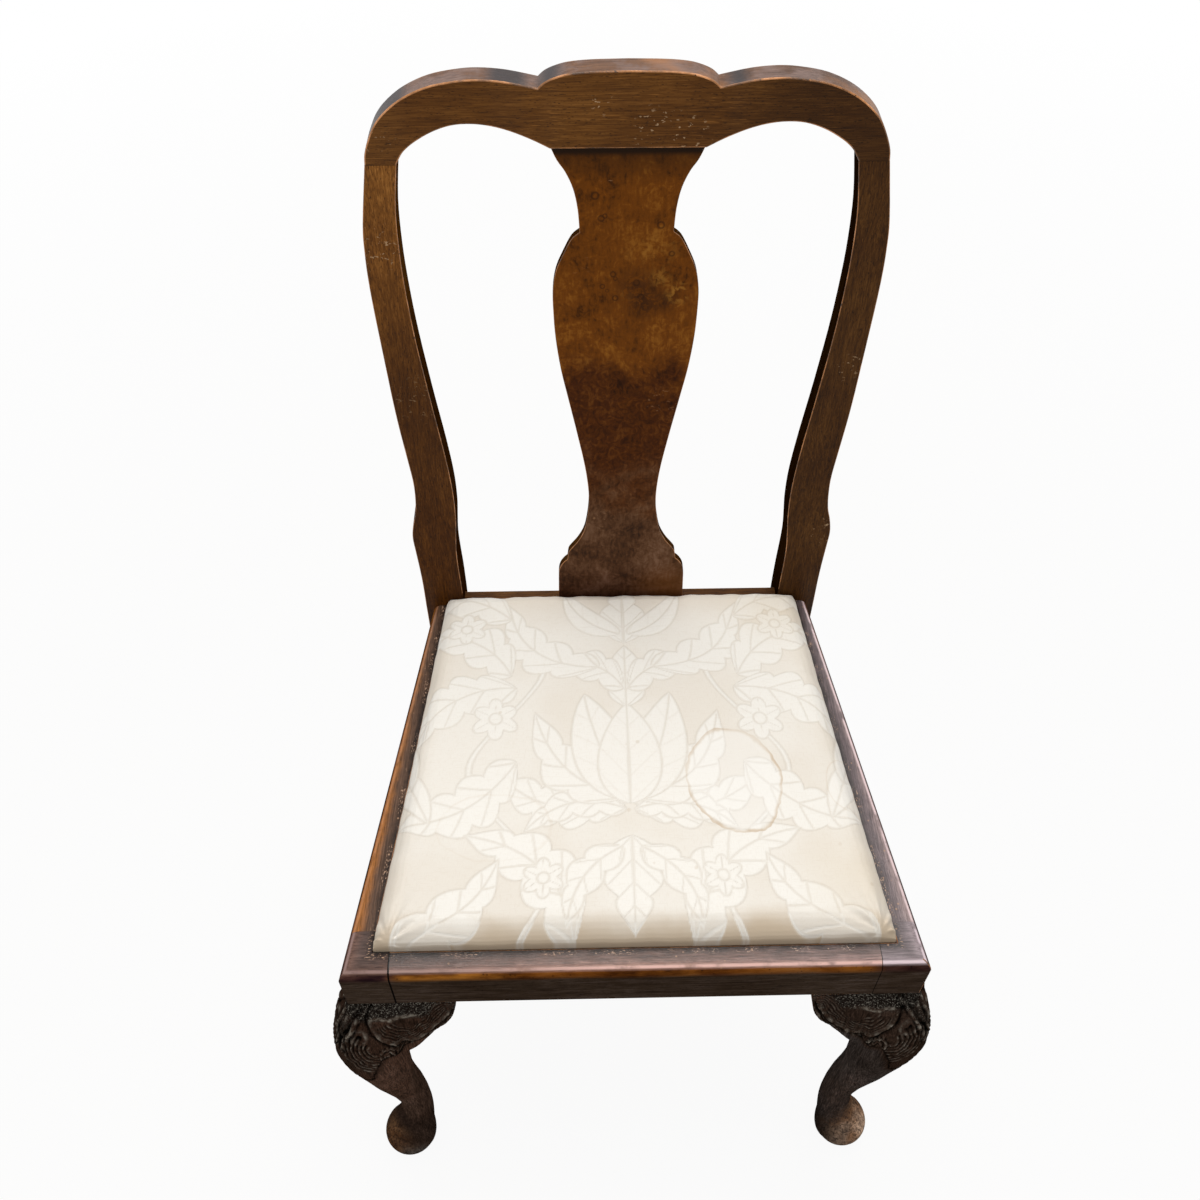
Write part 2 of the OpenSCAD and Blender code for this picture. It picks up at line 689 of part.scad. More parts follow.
// Corner blocks
front_block_plan = [
    [leg_in_x - block_leg, rail_t], [leg_in_x, rail_t], [leg_in_x, leg_block_d],
    [rail_inner_x(leg_block_d), leg_block_d],
    [rail_inner_x(leg_block_d + block_leg), leg_block_d + block_leg]
];
rear_block_x = min(rail_inner_x(rear_rail_front), rear_rail_x);
rear_block_plan = [
    [rear_block_x - block_leg, rear_rail_front], [rear_block_x, rear_rail_front],
    [rail_inner_x(rear_rail_front), rear_rail_front],
    [rail_inner_x(rear_rail_front - block_leg), rear_rail_front - block_leg]
];
module corner_block(plan) {
    translate([0, 0, block_bottom]) linear_extrude(block_h) polygon(plan);
}
module front_block() {
    difference() {
        corner_block(front_block_plan);
        front_screws(screw_room, block_leg);
    }
}
module rear_block() {
    difference() {
        corner_block(rear_block_plan);
        rear_screws(screw_room, block_leg);
    }
}
module front_right_corner_block() color("#c9a978") place() front_block();
module front_left_corner_block() color("#c9a978") place() left_hand() front_block();
module rear_right_corner_block() color("#c9a978") place() rear_block();
module rear_left_corner_block() color("#c9a978") place() left_hand() rear_block();
module corner_block_screws() {
    color("#8d8a84") place() both() {
        front_screws();
        rear_screws();
    }
}

module front_rail_dowels() color("#d9bd8b") place() both() front_dowels();
module right_rail_dowels() color("#d9bd8b") place() side_dowels();
module left_rail_dowels() color("#d9bd8b") place() left_hand() side_dowels();
module rear_rail_dowels() color("#d9bd8b") place() both() rear_dowels();
module crest_dowels() color("#d9bd8b") place() both() crest_dowel();

// Bars of the drop-in seat's frame, halved into each other at the corners
function bars_x(y) = well_x(y) - bars_side_in;
front_bar_back = bars_front + bar_w;
back_bar_front = bars_back - bar_w;
side_bar_plan = [
    [bars_x(bars_front) - bar_w, bars_front - overrun],
    [seat_w_front / 2, bars_front - overrun],
    [seat_w_front / 2, bars_back + overrun],
    [bars_x(bars_back) - bar_w, bars_back + overrun]
];
function tack_spread() = strap_w / 4;
strap_pitch = (seat_w_back - 2 * bar_w) / 3;
long_strap_x = [for (i = [-1:1]) i * strap_pitch];
cross_first = front_bar_back + strap_w / 2 + strap_w / 5;
cross_last = back_bar_front - strap_w / 2 - strap_w / 5;
cross_strap_y = [for (i = [0:2]) cross_first + (cross_last - cross_first) * i / 2];
strap_end_in = 7;
tack_from_end = 9;
function strap_half(y) = bars_x(y + strap_w / 2) - strap_end_in;
tack_in = strap_end_in + tack_from_end;
tack_r = 0.9;
tack_head_r = 2.6;
tack_head_h = 0.7;
tack_len = 9;
// Places of the webbing's tacks, and of the pegs through the corners
webbing_tack_places = concat(
    [for (x = long_strap_x, s = [-1, 1]) [x + s * tack_spread(), bars_front + tack_in]],
    [for (x = long_strap_x, s = [-1, 1]) [x + s * tack_spread(), bars_back - tack_in]],
    [
        for (y = cross_strap_y, s = [-1, 1], h = [-1, 1])
            [h * (strap_half(y) - tack_from_end), y + s * tack_spread()]
    ]
);
peg_places = [
    for (h = [-1, 1])
        each [
            [h * (bars_x(bars_front) - bar_w / 2), bars_front + bar_w / 2],
            [h * (bars_x(bars_back) - bar_w / 2), bars_back - bar_w / 2]
        ]
];
// Tacks that hold the cover's hem under the bars
cover_tacks_a_side = 5;
cover_tack_len = 7;
cover_tack_in = bars_side_in + hem_w * 0.6;
front_tack_y = cover_front + cover_t + hem_w * 0.6;
back_tack_y = cover_back - cover_t - hem_w * 0.6;
tack_row = [for (i = [0:cover_tacks_a_side - 1]) (i + 0.5) / cover_tacks_a_side];
cover_tack_places = concat(
    [
        for (t = tack_row, y = [front_tack_y, back_tack_y])
            [(2 * t - 1) * (well_x(y) - bar_w), y]
    ],
    [
        for (t = tack_row, h = [-1, 1])
            let (y = front_bar_back + (back_bar_front - front_bar_back) * t)
            [h * (well_x(y) - cover_tack_in), y]
    ]
);

module tack_holes() {
    for (p = webbing_tack_places)
        translate([p[0], p[1], bar_top - tack_len - glue_gap])
            cylinder(r = tack_r + glue_gap, h = tack_len + overrun);
}
module cover_tack_holes() {
    for (p = cover_tack_places)
        translate([p[0], p[1], bar_bottom - overrun])
            cylinder(r = tack_r + glue_gap, h = overrun + cover_tack_len + glue_gap);
}
module pegs(room = 0) {
    for (p = peg_places)
        translate([p[0], p[1], bar_bottom]) cylinder(r = peg_r + room, h = bar_t);
}
module bar_holes() {
    tack_holes();
    cover_tack_holes();
    for (p = peg_places)
        translate([p[0], p[1], bar_bottom - overrun])
            cylinder(r = peg_r + glue_gap, h = bar_t + 2 * overrun);
}
module bars_slab() {
    translate([0, 0, bar_bottom]) linear_extrude(bar_t)
        polygon([for (p = seat_ring(cover_t + fit_gap, 0, corner_r - cover_t)) [p[0], p[1]]]);
}
// The half of the bars' thickness that a side bar gives up at the corners
module upper_half(y0, y1) {
    translate([-seat_w_front, y0, bar_bottom + bar_t / 2])
        cube([2 * seat_w_front, y1 - y0, bar_t]);
}
module cross_bar(y0, y1) {
    difference() {
        between(y0, y1) bars_slab();
        both() translate([0, 0, bar_bottom - bar_t / 2]) linear_extrude(bar_t)
            polygon(side_bar_plan);
        bar_holes();
    }
}
module right_bar() {
    difference() {
        intersection() {
            bars_slab();
            translate([0, 0, bar_bottom - overrun]) linear_extrude(bar_t + 2 * overrun)
                polygon(side_bar_plan);
        }
        upper_half(bars_front - overrun, front_bar_back);
        upper_half(back_bar_front, bars_back + overrun);
        bar_holes();
    }
}
module seat_front_bar() color("#cfae7c") place() cross_bar(bars_front, front_bar_back);
module seat_back_bar() color("#cfae7c") place() cross_bar(back_bar_front, bars_back);
module seat_right_bar() color("#cfae7c") place() right_bar();
module seat_left_bar() color("#cfae7c") place() left_hand() right_bar();
module seat_corner_pegs() color("#b89463") place() pegs();

// Webbing, woven one strap over and one under; both ends lie on the bars
function strap_path(start, stop, crossings, first_high) = concat(
    [[start, 0]],
    [
        for (i = [0:len(crossings) - 1])
            let (c = crossings[i], up = (i + first_high) % 2 * strap_t, h = strap_w / 2)
            each [[c - h, up], [c + h, up]]
    ],
    [[stop, 0]]
);
// The strap dips back to the bars' level beside its first and last crossing
function eased(path) = let (n = len(path), dip = strap_w / 10) concat(
    [path[0], [path[1][0] - dip, 0]],
    [for (i = [1:n - 2]) path[i]],
    [[path[n - 2][0] + dip, 0], path[n - 1]]
);
function strap_section(path) = concat(
    path, flipped([for (p = path) [p[0], p[1] + strap_t]])
);
module strap_along_y(x, high) {
    translate([x - strap_w / 2, 0, bar_top]) rotate([90, 0, 90]) linear_extrude(strap_w)
        polygon(strap_section(eased(strap_path(
            bars_front + strap_end_in, bars_back - strap_end_in, cross_strap_y, high))));
}
module strap_along_x(y, high) {
    half = strap_half(y);
    translate([0, y + strap_w / 2, bar_top]) rotate([90, 0, 0]) linear_extrude(strap_w)
        polygon(strap_section(eased(strap_path(-half, half, long_strap_x, high))));
}
module webbing_front_to_back() {
    color("#b6a27c") place() difference() {
        for (i = [0:2]) strap_along_y(long_strap_x[i], i % 2);
        tack_holes();
    }
}
module webbing_side_to_side() {
    color("#a8946e") place() difference() {
        for (i = [0:2]) strap_along_x(cross_strap_y[i], (i + 1) % 2);
        tack_holes();
    }
}
module webbing_tacks() {
    color("#4a5058") place() for (p = webbing_tack_places) {
        translate([p[0], p[1], bar_top - tack_len])
            cylinder(r = tack_r, h = tack_len + strap_t);
        translate([p[0], p[1], bar_top + strap_t])
            cylinder(r = tack_head_r, h = tack_head_h);
    }
}

// Hessian, stuffing and cover, each inside the next
hessian_in = cover_t + strap_end_in;
stuffing_in = cover_t + fit_gap;
module hessian_outline() {
    polygon([
        for (p = seat_ring(hessian_in, 0, corner_r)) [p[0], p[1]]
    ]);
}
module seat_hessian() {
    color("#9c8660") place()
        translate([0, 0, weave_top]) linear_extrude(hessian_t) hessian_outline();
}
cover_edge = edge_top - edge_rise / 3;
stuffing_edge = cover_edge - cover_t - fit_gap;
stuffing_crown = crown_h + edge_rise / 3;
module seat_stuffing() {
    color("#d8cdb8") place() loft(concat(
        [
            seat_ring(stuffing_in + cover_t, hessian_top, corner_r),
            seat_ring(stuffing_in, (hessian_top + stuffing_edge) / 2, corner_r)
        ],
        [seat_ring(stuffing_in, stuffing_edge, corner_r)],
        crown_rings(stuffing_in, stuffing_edge, stuffing_crown)
    ));
}
module damask_cover() {
    color("#ece4d0") place() difference() {
        loft(concat(
            flipped(crown_rings(0, cover_edge, stuffing_crown)),
            [
                seat_ring(0, cover_edge, corner_r),
                seat_ring(0, cover_bottom, corner_r),
                seat_ring(cover_t + hem_w, cover_bottom, corner_r),
                seat_ring(cover_t + hem_w, bar_bottom, corner_r),
                seat_ring(cover_t, bar_bottom, corner_r - cover_t),
                seat_ring(cover_t, cover_edge - cover_t, corner_r - cover_t)
            ],
            crown_rings(cover_t, cover_edge - cover_t, stuffing_crown)
        ));
        cover_tack_holes();
    }
}
module cover_tacks() {
    color("#3f444b") place() for (p = cover_tack_places) {
        translate([p[0], p[1], cover_bottom])
            cylinder(r = tack_r, h = cover_t + cover_tack_len);
    }
}
module dust_cover() {
    color("#2b2a2c") place()
        translate([0, 0, bar_bottom - dust_t]) linear_extrude(dust_t)
            polygon([
                for (p = seat_ring(cover_t + hem_w + fit_gap, 0, corner_r)) [p[0], p[1]]
            ]);
}

front_seat_rail();
left_seat_rail();
right_seat_rail();
rear_seat_rail();
left_front_leg();
right_front_leg();
left_leg_front_ear();
left_leg_side_ear();
right_leg_front_ear();
right_leg_side_ear();
left_rear_post();
right_rear_post();
crest_rail();
back_splat();
splat_veneer();
front_left_corner_block();
front_right_corner_block();
rear_left_corner_block();
rear_right_corner_block();
corner_block_screws();
front_rail_dowels();
left_rail_dowels();
right_rail_dowels();
rear_rail_dowels();
crest_dowels();
seat_front_bar();
seat_back_bar();
seat_left_bar();
seat_right_bar();
seat_corner_pegs();
webbing_front_to_back();
webbing_side_to_side();
webbing_tacks();
seat_hessian();
seat_stuffing();
damask_cover();
cover_tacks();
dust_cover();
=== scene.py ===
"""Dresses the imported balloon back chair: worn walnut, carved knees, lift-out seat in pale damask, and the studio."""

import json
import math

import bmesh
import bpy
import numpy as np
from bpy.props import FloatProperty, FloatVectorProperty, IntProperty, PointerProperty
from mathutils import Matrix, Vector, noise
from mathutils.bvhtree import BVHTree

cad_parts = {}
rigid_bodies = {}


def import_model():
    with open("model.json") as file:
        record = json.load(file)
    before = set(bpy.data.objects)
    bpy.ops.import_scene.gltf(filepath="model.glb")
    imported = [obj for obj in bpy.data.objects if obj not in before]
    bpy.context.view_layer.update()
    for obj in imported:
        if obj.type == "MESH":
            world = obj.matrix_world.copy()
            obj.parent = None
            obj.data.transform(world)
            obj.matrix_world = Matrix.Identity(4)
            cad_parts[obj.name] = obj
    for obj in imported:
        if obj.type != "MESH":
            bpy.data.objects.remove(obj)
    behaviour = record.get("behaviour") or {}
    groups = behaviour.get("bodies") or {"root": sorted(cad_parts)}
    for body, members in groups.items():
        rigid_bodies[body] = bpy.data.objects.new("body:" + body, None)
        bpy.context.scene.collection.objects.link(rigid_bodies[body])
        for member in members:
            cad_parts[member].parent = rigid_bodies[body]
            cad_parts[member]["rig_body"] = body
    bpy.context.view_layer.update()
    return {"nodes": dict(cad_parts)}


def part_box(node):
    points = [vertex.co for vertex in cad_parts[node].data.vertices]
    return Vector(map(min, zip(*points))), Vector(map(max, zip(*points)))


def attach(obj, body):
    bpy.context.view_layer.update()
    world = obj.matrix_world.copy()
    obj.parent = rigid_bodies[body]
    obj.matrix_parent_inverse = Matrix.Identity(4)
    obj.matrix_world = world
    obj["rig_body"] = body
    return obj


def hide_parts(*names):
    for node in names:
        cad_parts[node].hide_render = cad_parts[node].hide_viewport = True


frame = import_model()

bl_info = {
    "name": "Balloon Back Dining Chair",
    "version": (1, 0, 0),
    "blender": (4, 5, 0),
    "location": "View3D > Sidebar > Chair",
    "description": "Dresses the chair's packed frame with worn wood, carving, a damask seat and a studio",
    "category": "Object",
}

NODES = frame["nodes"]
CHAIR = "chair_frame"
SEAT = "drop_in_seat"
MM = 0.001

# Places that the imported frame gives
RAIL_LOW, RAIL_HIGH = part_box("front_seat_rail")
FRONT = RAIL_LOW.y
RAIL_BOTTOM = RAIL_LOW.z
SEAT_TOP = RAIL_HIGH.z
BLOCK_IN = RAIL_HIGH.x
BLOCK_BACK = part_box("left_seat_rail")[0].y
COVER_LOW, COVER_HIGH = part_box("damask_cover")
SPLAT_LOW, SPLAT_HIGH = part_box("splat_veneer")
SEAT_MIDDLE = (COVER_LOW.y + COVER_HIGH.y) / 2
SIDES = {"left": -1, "right": 1}


# Sizes and colours that a user may change

class WoodSettings(bpy.types.PropertyGroup):
    edge_wear: FloatProperty(
        name="Edge wear", description="Width of the worn arris on the frame's free edges",
        default=1.1 * MM, min=0.2 * MM, max=3 * MM, unit="LENGTH", precision=4)
    seam_width: FloatProperty(
        name="Seam width", description="Half the width of a glued joint's dark line",
        default=0.3 * MM, min=0.05 * MM, max=1 * MM, unit="LENGTH", precision=5)
    crack_width: FloatProperty(
        name="Crack width", description="Half the width of the open joint beside the left leg block",
        default=0.7 * MM, min=0.1 * MM, max=2 * MM, unit="LENGTH", precision=5)
    walnut_dark: FloatVectorProperty(
        name="Walnut, dark", description="Colour of the walnut's dark streaks",
        default=(0.036, 0.0125, 0.0028), size=3, min=0, max=1, subtype="COLOR")
    walnut_mid: FloatVectorProperty(
        name="Walnut, middle", description="Main colour of the walnut",
        default=(0.108, 0.041, 0.0070), size=3, min=0, max=1, subtype="COLOR")
    walnut_light: FloatVectorProperty(
        name="Walnut, light", description="Colour of the walnut's light streaks",
        default=(0.205, 0.088, 0.020), size=3, min=0, max=1, subtype="COLOR")
    arris: FloatVectorProperty(
        name="Worn arris", description="Colour of the wood where edges are rubbed through",
        default=(0.42, 0.175, 0.055), size=3, min=0, max=1, subtype="COLOR")
    burr: FloatVectorProperty(
        name="Burr veneer", description="Main colour of the splat's burr veneer",
        default=(0.160, 0.047, 0.0035), size=3, min=0, max=1, subtype="COLOR")


class CarvingSettings(bpy.types.PropertyGroup):
    skin: FloatProperty(
        name="Skin size", description="Size of the faces that the carving is cut into",
        default=1.5 * MM, min=0.8 * MM, max=4 * MM, unit="LENGTH", precision=4)
    depth: FloatProperty(
        name="Carving depth", description="Share of the full relief of the knees and their ears",
        default=1.0, min=0, max=1.5, subtype="FACTOR")
    softening: IntProperty(
        name="Softening", description="Rounds of smoothing that the legs get before they are carved",
        default=10, min=0, max=30)
    leg_softening: IntProperty(
        name="Lower leg softening", description="Rounds of smoothing that the plain lower legs get as well",
        default=26, min=0, max=60)


class SeatSettings(bpy.types.PropertyGroup):
    crown: FloatProperty(
        name="Crown", description="Height of the cushion's middle above its edge roll",
        default=9 * MM, min=0, max=30 * MM, unit="LENGTH", precision=4)
    edge_roll: FloatProperty(
        name="Edge roll", description="How far in from the side the cushion's edge rolls over",
        default=17 * MM, min=5 * MM, max=40 * MM, unit="LENGTH", precision=4)
    damask: FloatVectorProperty(
        name="Damask, figure", description="Colour of the ivory damask's leaves and flowers",
        default=(0.825, 0.805, 0.755), size=3, min=0, max=1, subtype="COLOR")
    damask_ground: FloatVectorProperty(
        name="Damask, ground", description="Colour of the damask between its leaves and flowers",
        default=(0.765, 0.722, 0.650), size=3, min=0, max=1, subtype="COLOR")
    # This colour is also used as painted shade on the cushion's walls and along its edges, besides dirt
    damask_soil_and_shade: FloatVectorProperty(
        name="Damask, soiled", description="Colour of the damask where its edges are soiled",
        default=(0.52, 0.41, 0.285), size=3, min=0, max=1, subtype="COLOR")


class StudioSettings(bpy.types.PropertyGroup):
    sky: FloatProperty(
        name="Sky", description="Level of the even light from all round",
        default=0.45, min=0, max=3)
    overhead: FloatProperty(
        name="Overhead lamp", description="Power of the soft lamp above the chair",
        default=41, min=0, max=1000, unit="POWER")
    window: FloatProperty(
        name="Window lamp", description="Power of the soft lamp in front, on the left",
        default=13, min=0, max=1000, unit="POWER")
    lens: FloatProperty(
        name="Lens", description="Focal length on a sensor 36 mm wide",
        default=34.5, min=10, max=200, unit="CAMERA")


# Node trees: small tools that build them

def math_sign(operation, swapped=False):
    """A method for one of Python's signs: it adds a math node."""
    def method(self, other=0.0):
        first, second = (other, self) if swapped else (self, other)
        return self.owner.math(operation, first, second)
    return method


class Value:
    """What comes out of a node. Python's signs take it further: * keeps what two masks share, | what either has."""
    __add__ = __radd__ = math_sign("ADD")
    __mul__ = __rmul__ = math_sign("MULTIPLY")
    __sub__, __rsub__ = math_sign("SUBTRACT"), math_sign("SUBTRACT", swapped=True)
    __or__ = math_sign("MAXIMUM")
    __lt__ = math_sign("LESS_THAN")
    __abs__ = math_sign("ABSOLUTE")

    def __init__(self, owner, socket):
        self.owner, self.socket = owner, socket


class Tree:
    """A node tree in the making; each call adds one node and gives back what comes out of it."""

    def __init__(self, owner):
        owner.use_nodes = True
        self.tree = owner.node_tree
        self.tree.nodes.clear()

    def add(self, kind, sockets=None, out=0, **settings):
        made = self.tree.nodes.new("ShaderNode" + kind)
        for name, value in settings.items():
            setattr(made, name, value)
        for name, value in (sockets or {}).items():
            if isinstance(value, Value):
                self.tree.links.new(value.socket, made.inputs[name])
            else:
                made.inputs[name].default_value = value
        return Value(self, made.outputs[out]) if made.outputs else None

    def math(self, operation, a, b=0.0):
        return self.add("Math", {0: a, 1: b}, operation=operation)

    def seen_directly(self):
        """1 for what the camera sees, also in gloss and through glass; 0 for the light that falls on things."""
        camera, gloss, glass = (self.add("LightPath", out=f"Is {ray} Ray")
                                for ray in ("Camera", "Glossy", "Transmission"))
        return camera | gloss | glass


class Finish(Tree):
    """The node tree of a procedural material, which is painted layer by layer; colour is what is painted so far."""

    def __init__(self, name):
        self.material = bpy.data.materials.new(name)
        super().__init__(self.material)
        self.colour = None
        self.place = self.add("TexCoord", out="Object")
        self.x, self.y, self.z = self.split(self.place)

    def split(self, vector):
        return [Value(self, socket) for socket in self.add("SeparateXYZ", {0: vector}).socket.node.outputs]

    def facing(self):
        """Which way the smooth surface looks, in x, y and z."""
        return self.split(self.add("TexCoord", out="Normal"))

    def flat_facing(self):
        """Which way the flat face looks, in x, y and z."""
        return self.split(self.add("NewGeometry", out="True Normal"))

    def along(self, run, share):
        """Places for a pattern that is drawn out along one axis."""
        return self.add("Mapping", {"Vector": self.place, "Scale": [share if axis == run else 1 for axis in "XYZ"]})

    def noise(self, scale, detail=3, roughness=0.5, warp=0.0, at=None):
        return self.add("TexNoise", {"Vector": at or self.place, "Scale": scale, "Detail": detail,
                                     "Roughness": roughness, "Distortion": warp})

    def cells(self, scale):
        return self.add("TexVoronoi", {"Vector": self.place, "Scale": scale}, out="Distance")

    def vector(self, operation, a, b=(0, 0, 0), out=0):
        return self.add("VectorMath", {0: a, 1: b}, out, operation=operation)

    def step(self, value, low, high):
        """0 below low, 1 above high, and smooth between them; low may be above high."""
        return self.add("MapRange", {"Value": value, "From Min": low, "From Max": high},
                        interpolation_type="SMOOTHSTEP")

    def between(self, value, low, high, soft):
        return self.step(value, low - soft, low + soft) * self.step(value, high + soft, high - soft)

    def near(self, centre, radius, soft):
        """1 inside a ball round a point of the chair, 0 outside it."""
        return self.step(self.vector("DISTANCE", self.place, centre, out=1), radius + soft, radius - soft)

    def stored(self, name):
        return self.add("Attribute", out="Fac", attribute_name=name)

    def ramp(self, value, *stops):
        """Colours along a value; each stop is a place and a colour."""
        made = self.add("ValToRGB", {0: value})
        bar = made.socket.node.color_ramp.elements
        while len(bar) < len(stops):
            bar.new(0.5)
        for element, (place, colour) in zip(bar, stops):
            element.position, element.color = place, (*colour, 1)
        return made

    def tones(self, value, colour, *stops):
        """One colour, lighter or darker along a value; each stop is a place and a share of the colour."""
        return self.ramp(value, *((place, tinted(colour, share)) for place, share in stops))

    def blend(self, share, first, second, how="MIX"):
        return self.add("Mix", {0: share, 6: opaque(first), 7: opaque(second)}, out=2, data_type="RGBA", blend_type=how)

    def times(self, colour, shares):
        return self.blend(1.0, colour, shares if isinstance(shares, tuple) else (shares,) * 3, "MULTIPLY")

    def paint(self, mask, tone):
        """Lays a tone over the colour so far, where a mask is."""
        self.colour = self.blend(mask, self.colour, tone)

    def dim(self, mask, shares):
        """Takes the colour so far down or up; shares is one number, or one each for red, green and blue."""
        self.paint(mask, self.times(self.colour, shares))

    def fade(self, place, start, end, shares):
        """Takes the colour so far down or up little by little between two places along an axis."""
        self.dim(self.step(place, start, end), shares)

    def bump(self, height, depth, below=None, strength=1.0):
        sockets = {"Height": height, "Distance": depth, "Strength": strength}
        if below:
            sockets["Normal"] = below
        return self.add("Bump", sockets)

    def close(self, roughness, normal=None, **sockets):
        """Ends the tree in a Principled shader and gives back the material."""
        names = {"metallic": "Metallic", "specular": "Specular IOR Level", "sheen": "Sheen Weight",
                 "sheen_roughness": "Sheen Roughness"}
        values = {names[key]: value for key, value in sockets.items()}
        values.update({"Base Color": self.colour, "Roughness": roughness})
        if normal:
            values["Normal"] = normal
        self.add("OutputMaterial", {"Surface": self.add("BsdfPrincipled", values)})
        return self.material


def opaque(colour):
    return colour if isinstance(colour, Value) else (*colour, 1)


def tinted(colour, share):
    """A colour times a number, or times one number each for red, green and blue."""
    return tuple(np.multiply(tuple(colour), share))


# Wood finishes

DULL, WAXED = 0.10, 0.40
BLACK_GAP = (0.0035, 0.0028, 0.0025)


def walnut_tones(settings, share):
    return [tinted(colour, share) for colour in (settings.walnut_dark, settings.walnut_mid, settings.walnut_light)]


def timber(f, run, tones, contrast=1.0):
    """Paints straight-grained wood whose fibres run along one axis; gives back its pores and its fine streaks."""
    dark, mid, light = tones
    bend = 0.018 * f.noise(7, 2, at=f.along(run, 0.3))
    drift = f.vector("ADD", f.along(run, 0.05), f.add("CombineXYZ", {0: bend, 1: bend, 2: bend}))
    fine = f.noise(900, 3, 0.62, at=drift)
    pores = f.noise(1450, 1, at=drift)
    spread = 0.17 / contrast
    streaks = 0.34 * f.noise(190, 4, 0.55, at=drift) + 0.66 * fine
    f.colour = f.ramp(streaks, (0.5 - spread, dark), (0.5, mid), (0.5 + spread, light))
    short = f.step(f.noise(1100, 1, at=f.along(run, 0.3)), 0.57, 0.66)
    f.paint(0.75 * short * f.step(pores, 0.45, 0.60), tinted(dark, 0.55))
    waxy = f.step(pores, 0.37, 0.29) * f.step(f.noise(21, 2), 0.44, 0.62)
    f.paint(0.5 * waxy, tinted(light, 1.5))
    f.dim(f.step(f.noise(12), 0.66, 0.34), (0.74, 0.70, 0.66))
    return pores, fine


def knock(f, mark, clusters, amount=0.7):
    """Paints small pale knocks: a few anywhere, and many inside each cluster, which is a centre and a radius."""
    where = 0.6 * f.step(f.noise(13, 1), 0.66, 0.72)
    for centre, radius in clusters:
        where = where | f.near(centre, radius, radius * 0.5)
    flecks = f.step(f.noise(430, 2, 0.6, at=f.along("X", 0.55)), 0.635, 0.675)
    f.paint(amount * flecks * where, mark)


def walnut(name, run, settings, shade=1.0, contrast=1.0, clusters=(), fades=(), dust_and_sheen=None, dark_top_patches=(), inner=None,
           specular=DULL):
    """Polished walnut.

    fades are (axis, start, end, share); dust_and_sheen is the colour laid on what faces up: dust, and a painted sheen
    that stands for light reflected from above; dark_top_patches are the stretches, as (from, to) across the chair,
    where what faces up is darkened almost to black; inner is (direction, share) of the side face that is darker.
    """
    f = Finish(name)
    pores, fine = timber(f, run, walnut_tones(settings, shade), contrast)
    knock(f, (0.50, 0.34, 0.20), clusters)
    for axis, *fade in fades:
        f.fade(getattr(f, axis), *fade)
    if inner:
        f.fade(inner[0] * f.flat_facing()[0], 0.35, 0.75, inner[1])
    if dust_and_sheen:
        # What faces up is laid over with dust and a painted sheen, a painted reflection of the bright room above
        up = f.flat_facing()[2]
        facing_up = f.step(up, 0.25, 0.80)
        rubbed = f.step(f.noise(26, 4, 0.65), 0.60, 0.44)
        dust_and_sheen_tone = f.tones(fine, dust_and_sheen, (0.32, 0.62), (0.52, 1), (0.70, 1.35))
        f.paint(facing_up * (0.55 * rubbed + 0.35), dust_and_sheen_tone)
        copper = facing_up * f.step(f.noise(16), 0.54, 0.66)
        f.paint(0.6 * copper, tinted(settings.arris, 0.75))
        # Stretches of what faces up, darkened almost to black
        for start, end in dark_top_patches:
            patch = f.between(f.x, start, end, 7 * MM) * f.step(up, 0.05, 0.45)
            f.paint(0.85 * patch, (0.030, 0.030, 0.034))
    relief = f.bump(f.noise(22, 2), 0.8 * MM, f.bump(pores, 0.12 * MM))
    return f.close(0.34 + 0.14 * f.noise(35), relief, specular=specular)


def worn_arris(name, settings, shade=1.0):
    """An edge rubbed through to orange wood, with a few dark nicks."""
    f = Finish(name)
    orange = tinted(settings.arris, shade)
    pale = tuple(min(1, 1.4 * c + 0.06) for c in orange)
    nick = f.noise(230, 2)
    f.colour = f.ramp(f.noise(42, 4, 0.65), (0.34, tinted(orange, 0.16)), (0.45, tinted(orange, 0.50)),
                      (0.56, orange), (0.70, pale))
    f.paint(f.step(nick, 0.64, 0.70), tinted(settings.walnut_mid, 0.6))
    return f.close(0.38, f.bump(nick, 0.25 * MM), specular=WAXED)


def joint_grime(name):
    f = Finish(name)
    f.colour = f.ramp(f.noise(150), (0.35, (0.004, 0.003, 0.003)), (0.7, (0.016, 0.010, 0.008)))
    return f.close(0.85, specular=0.1)


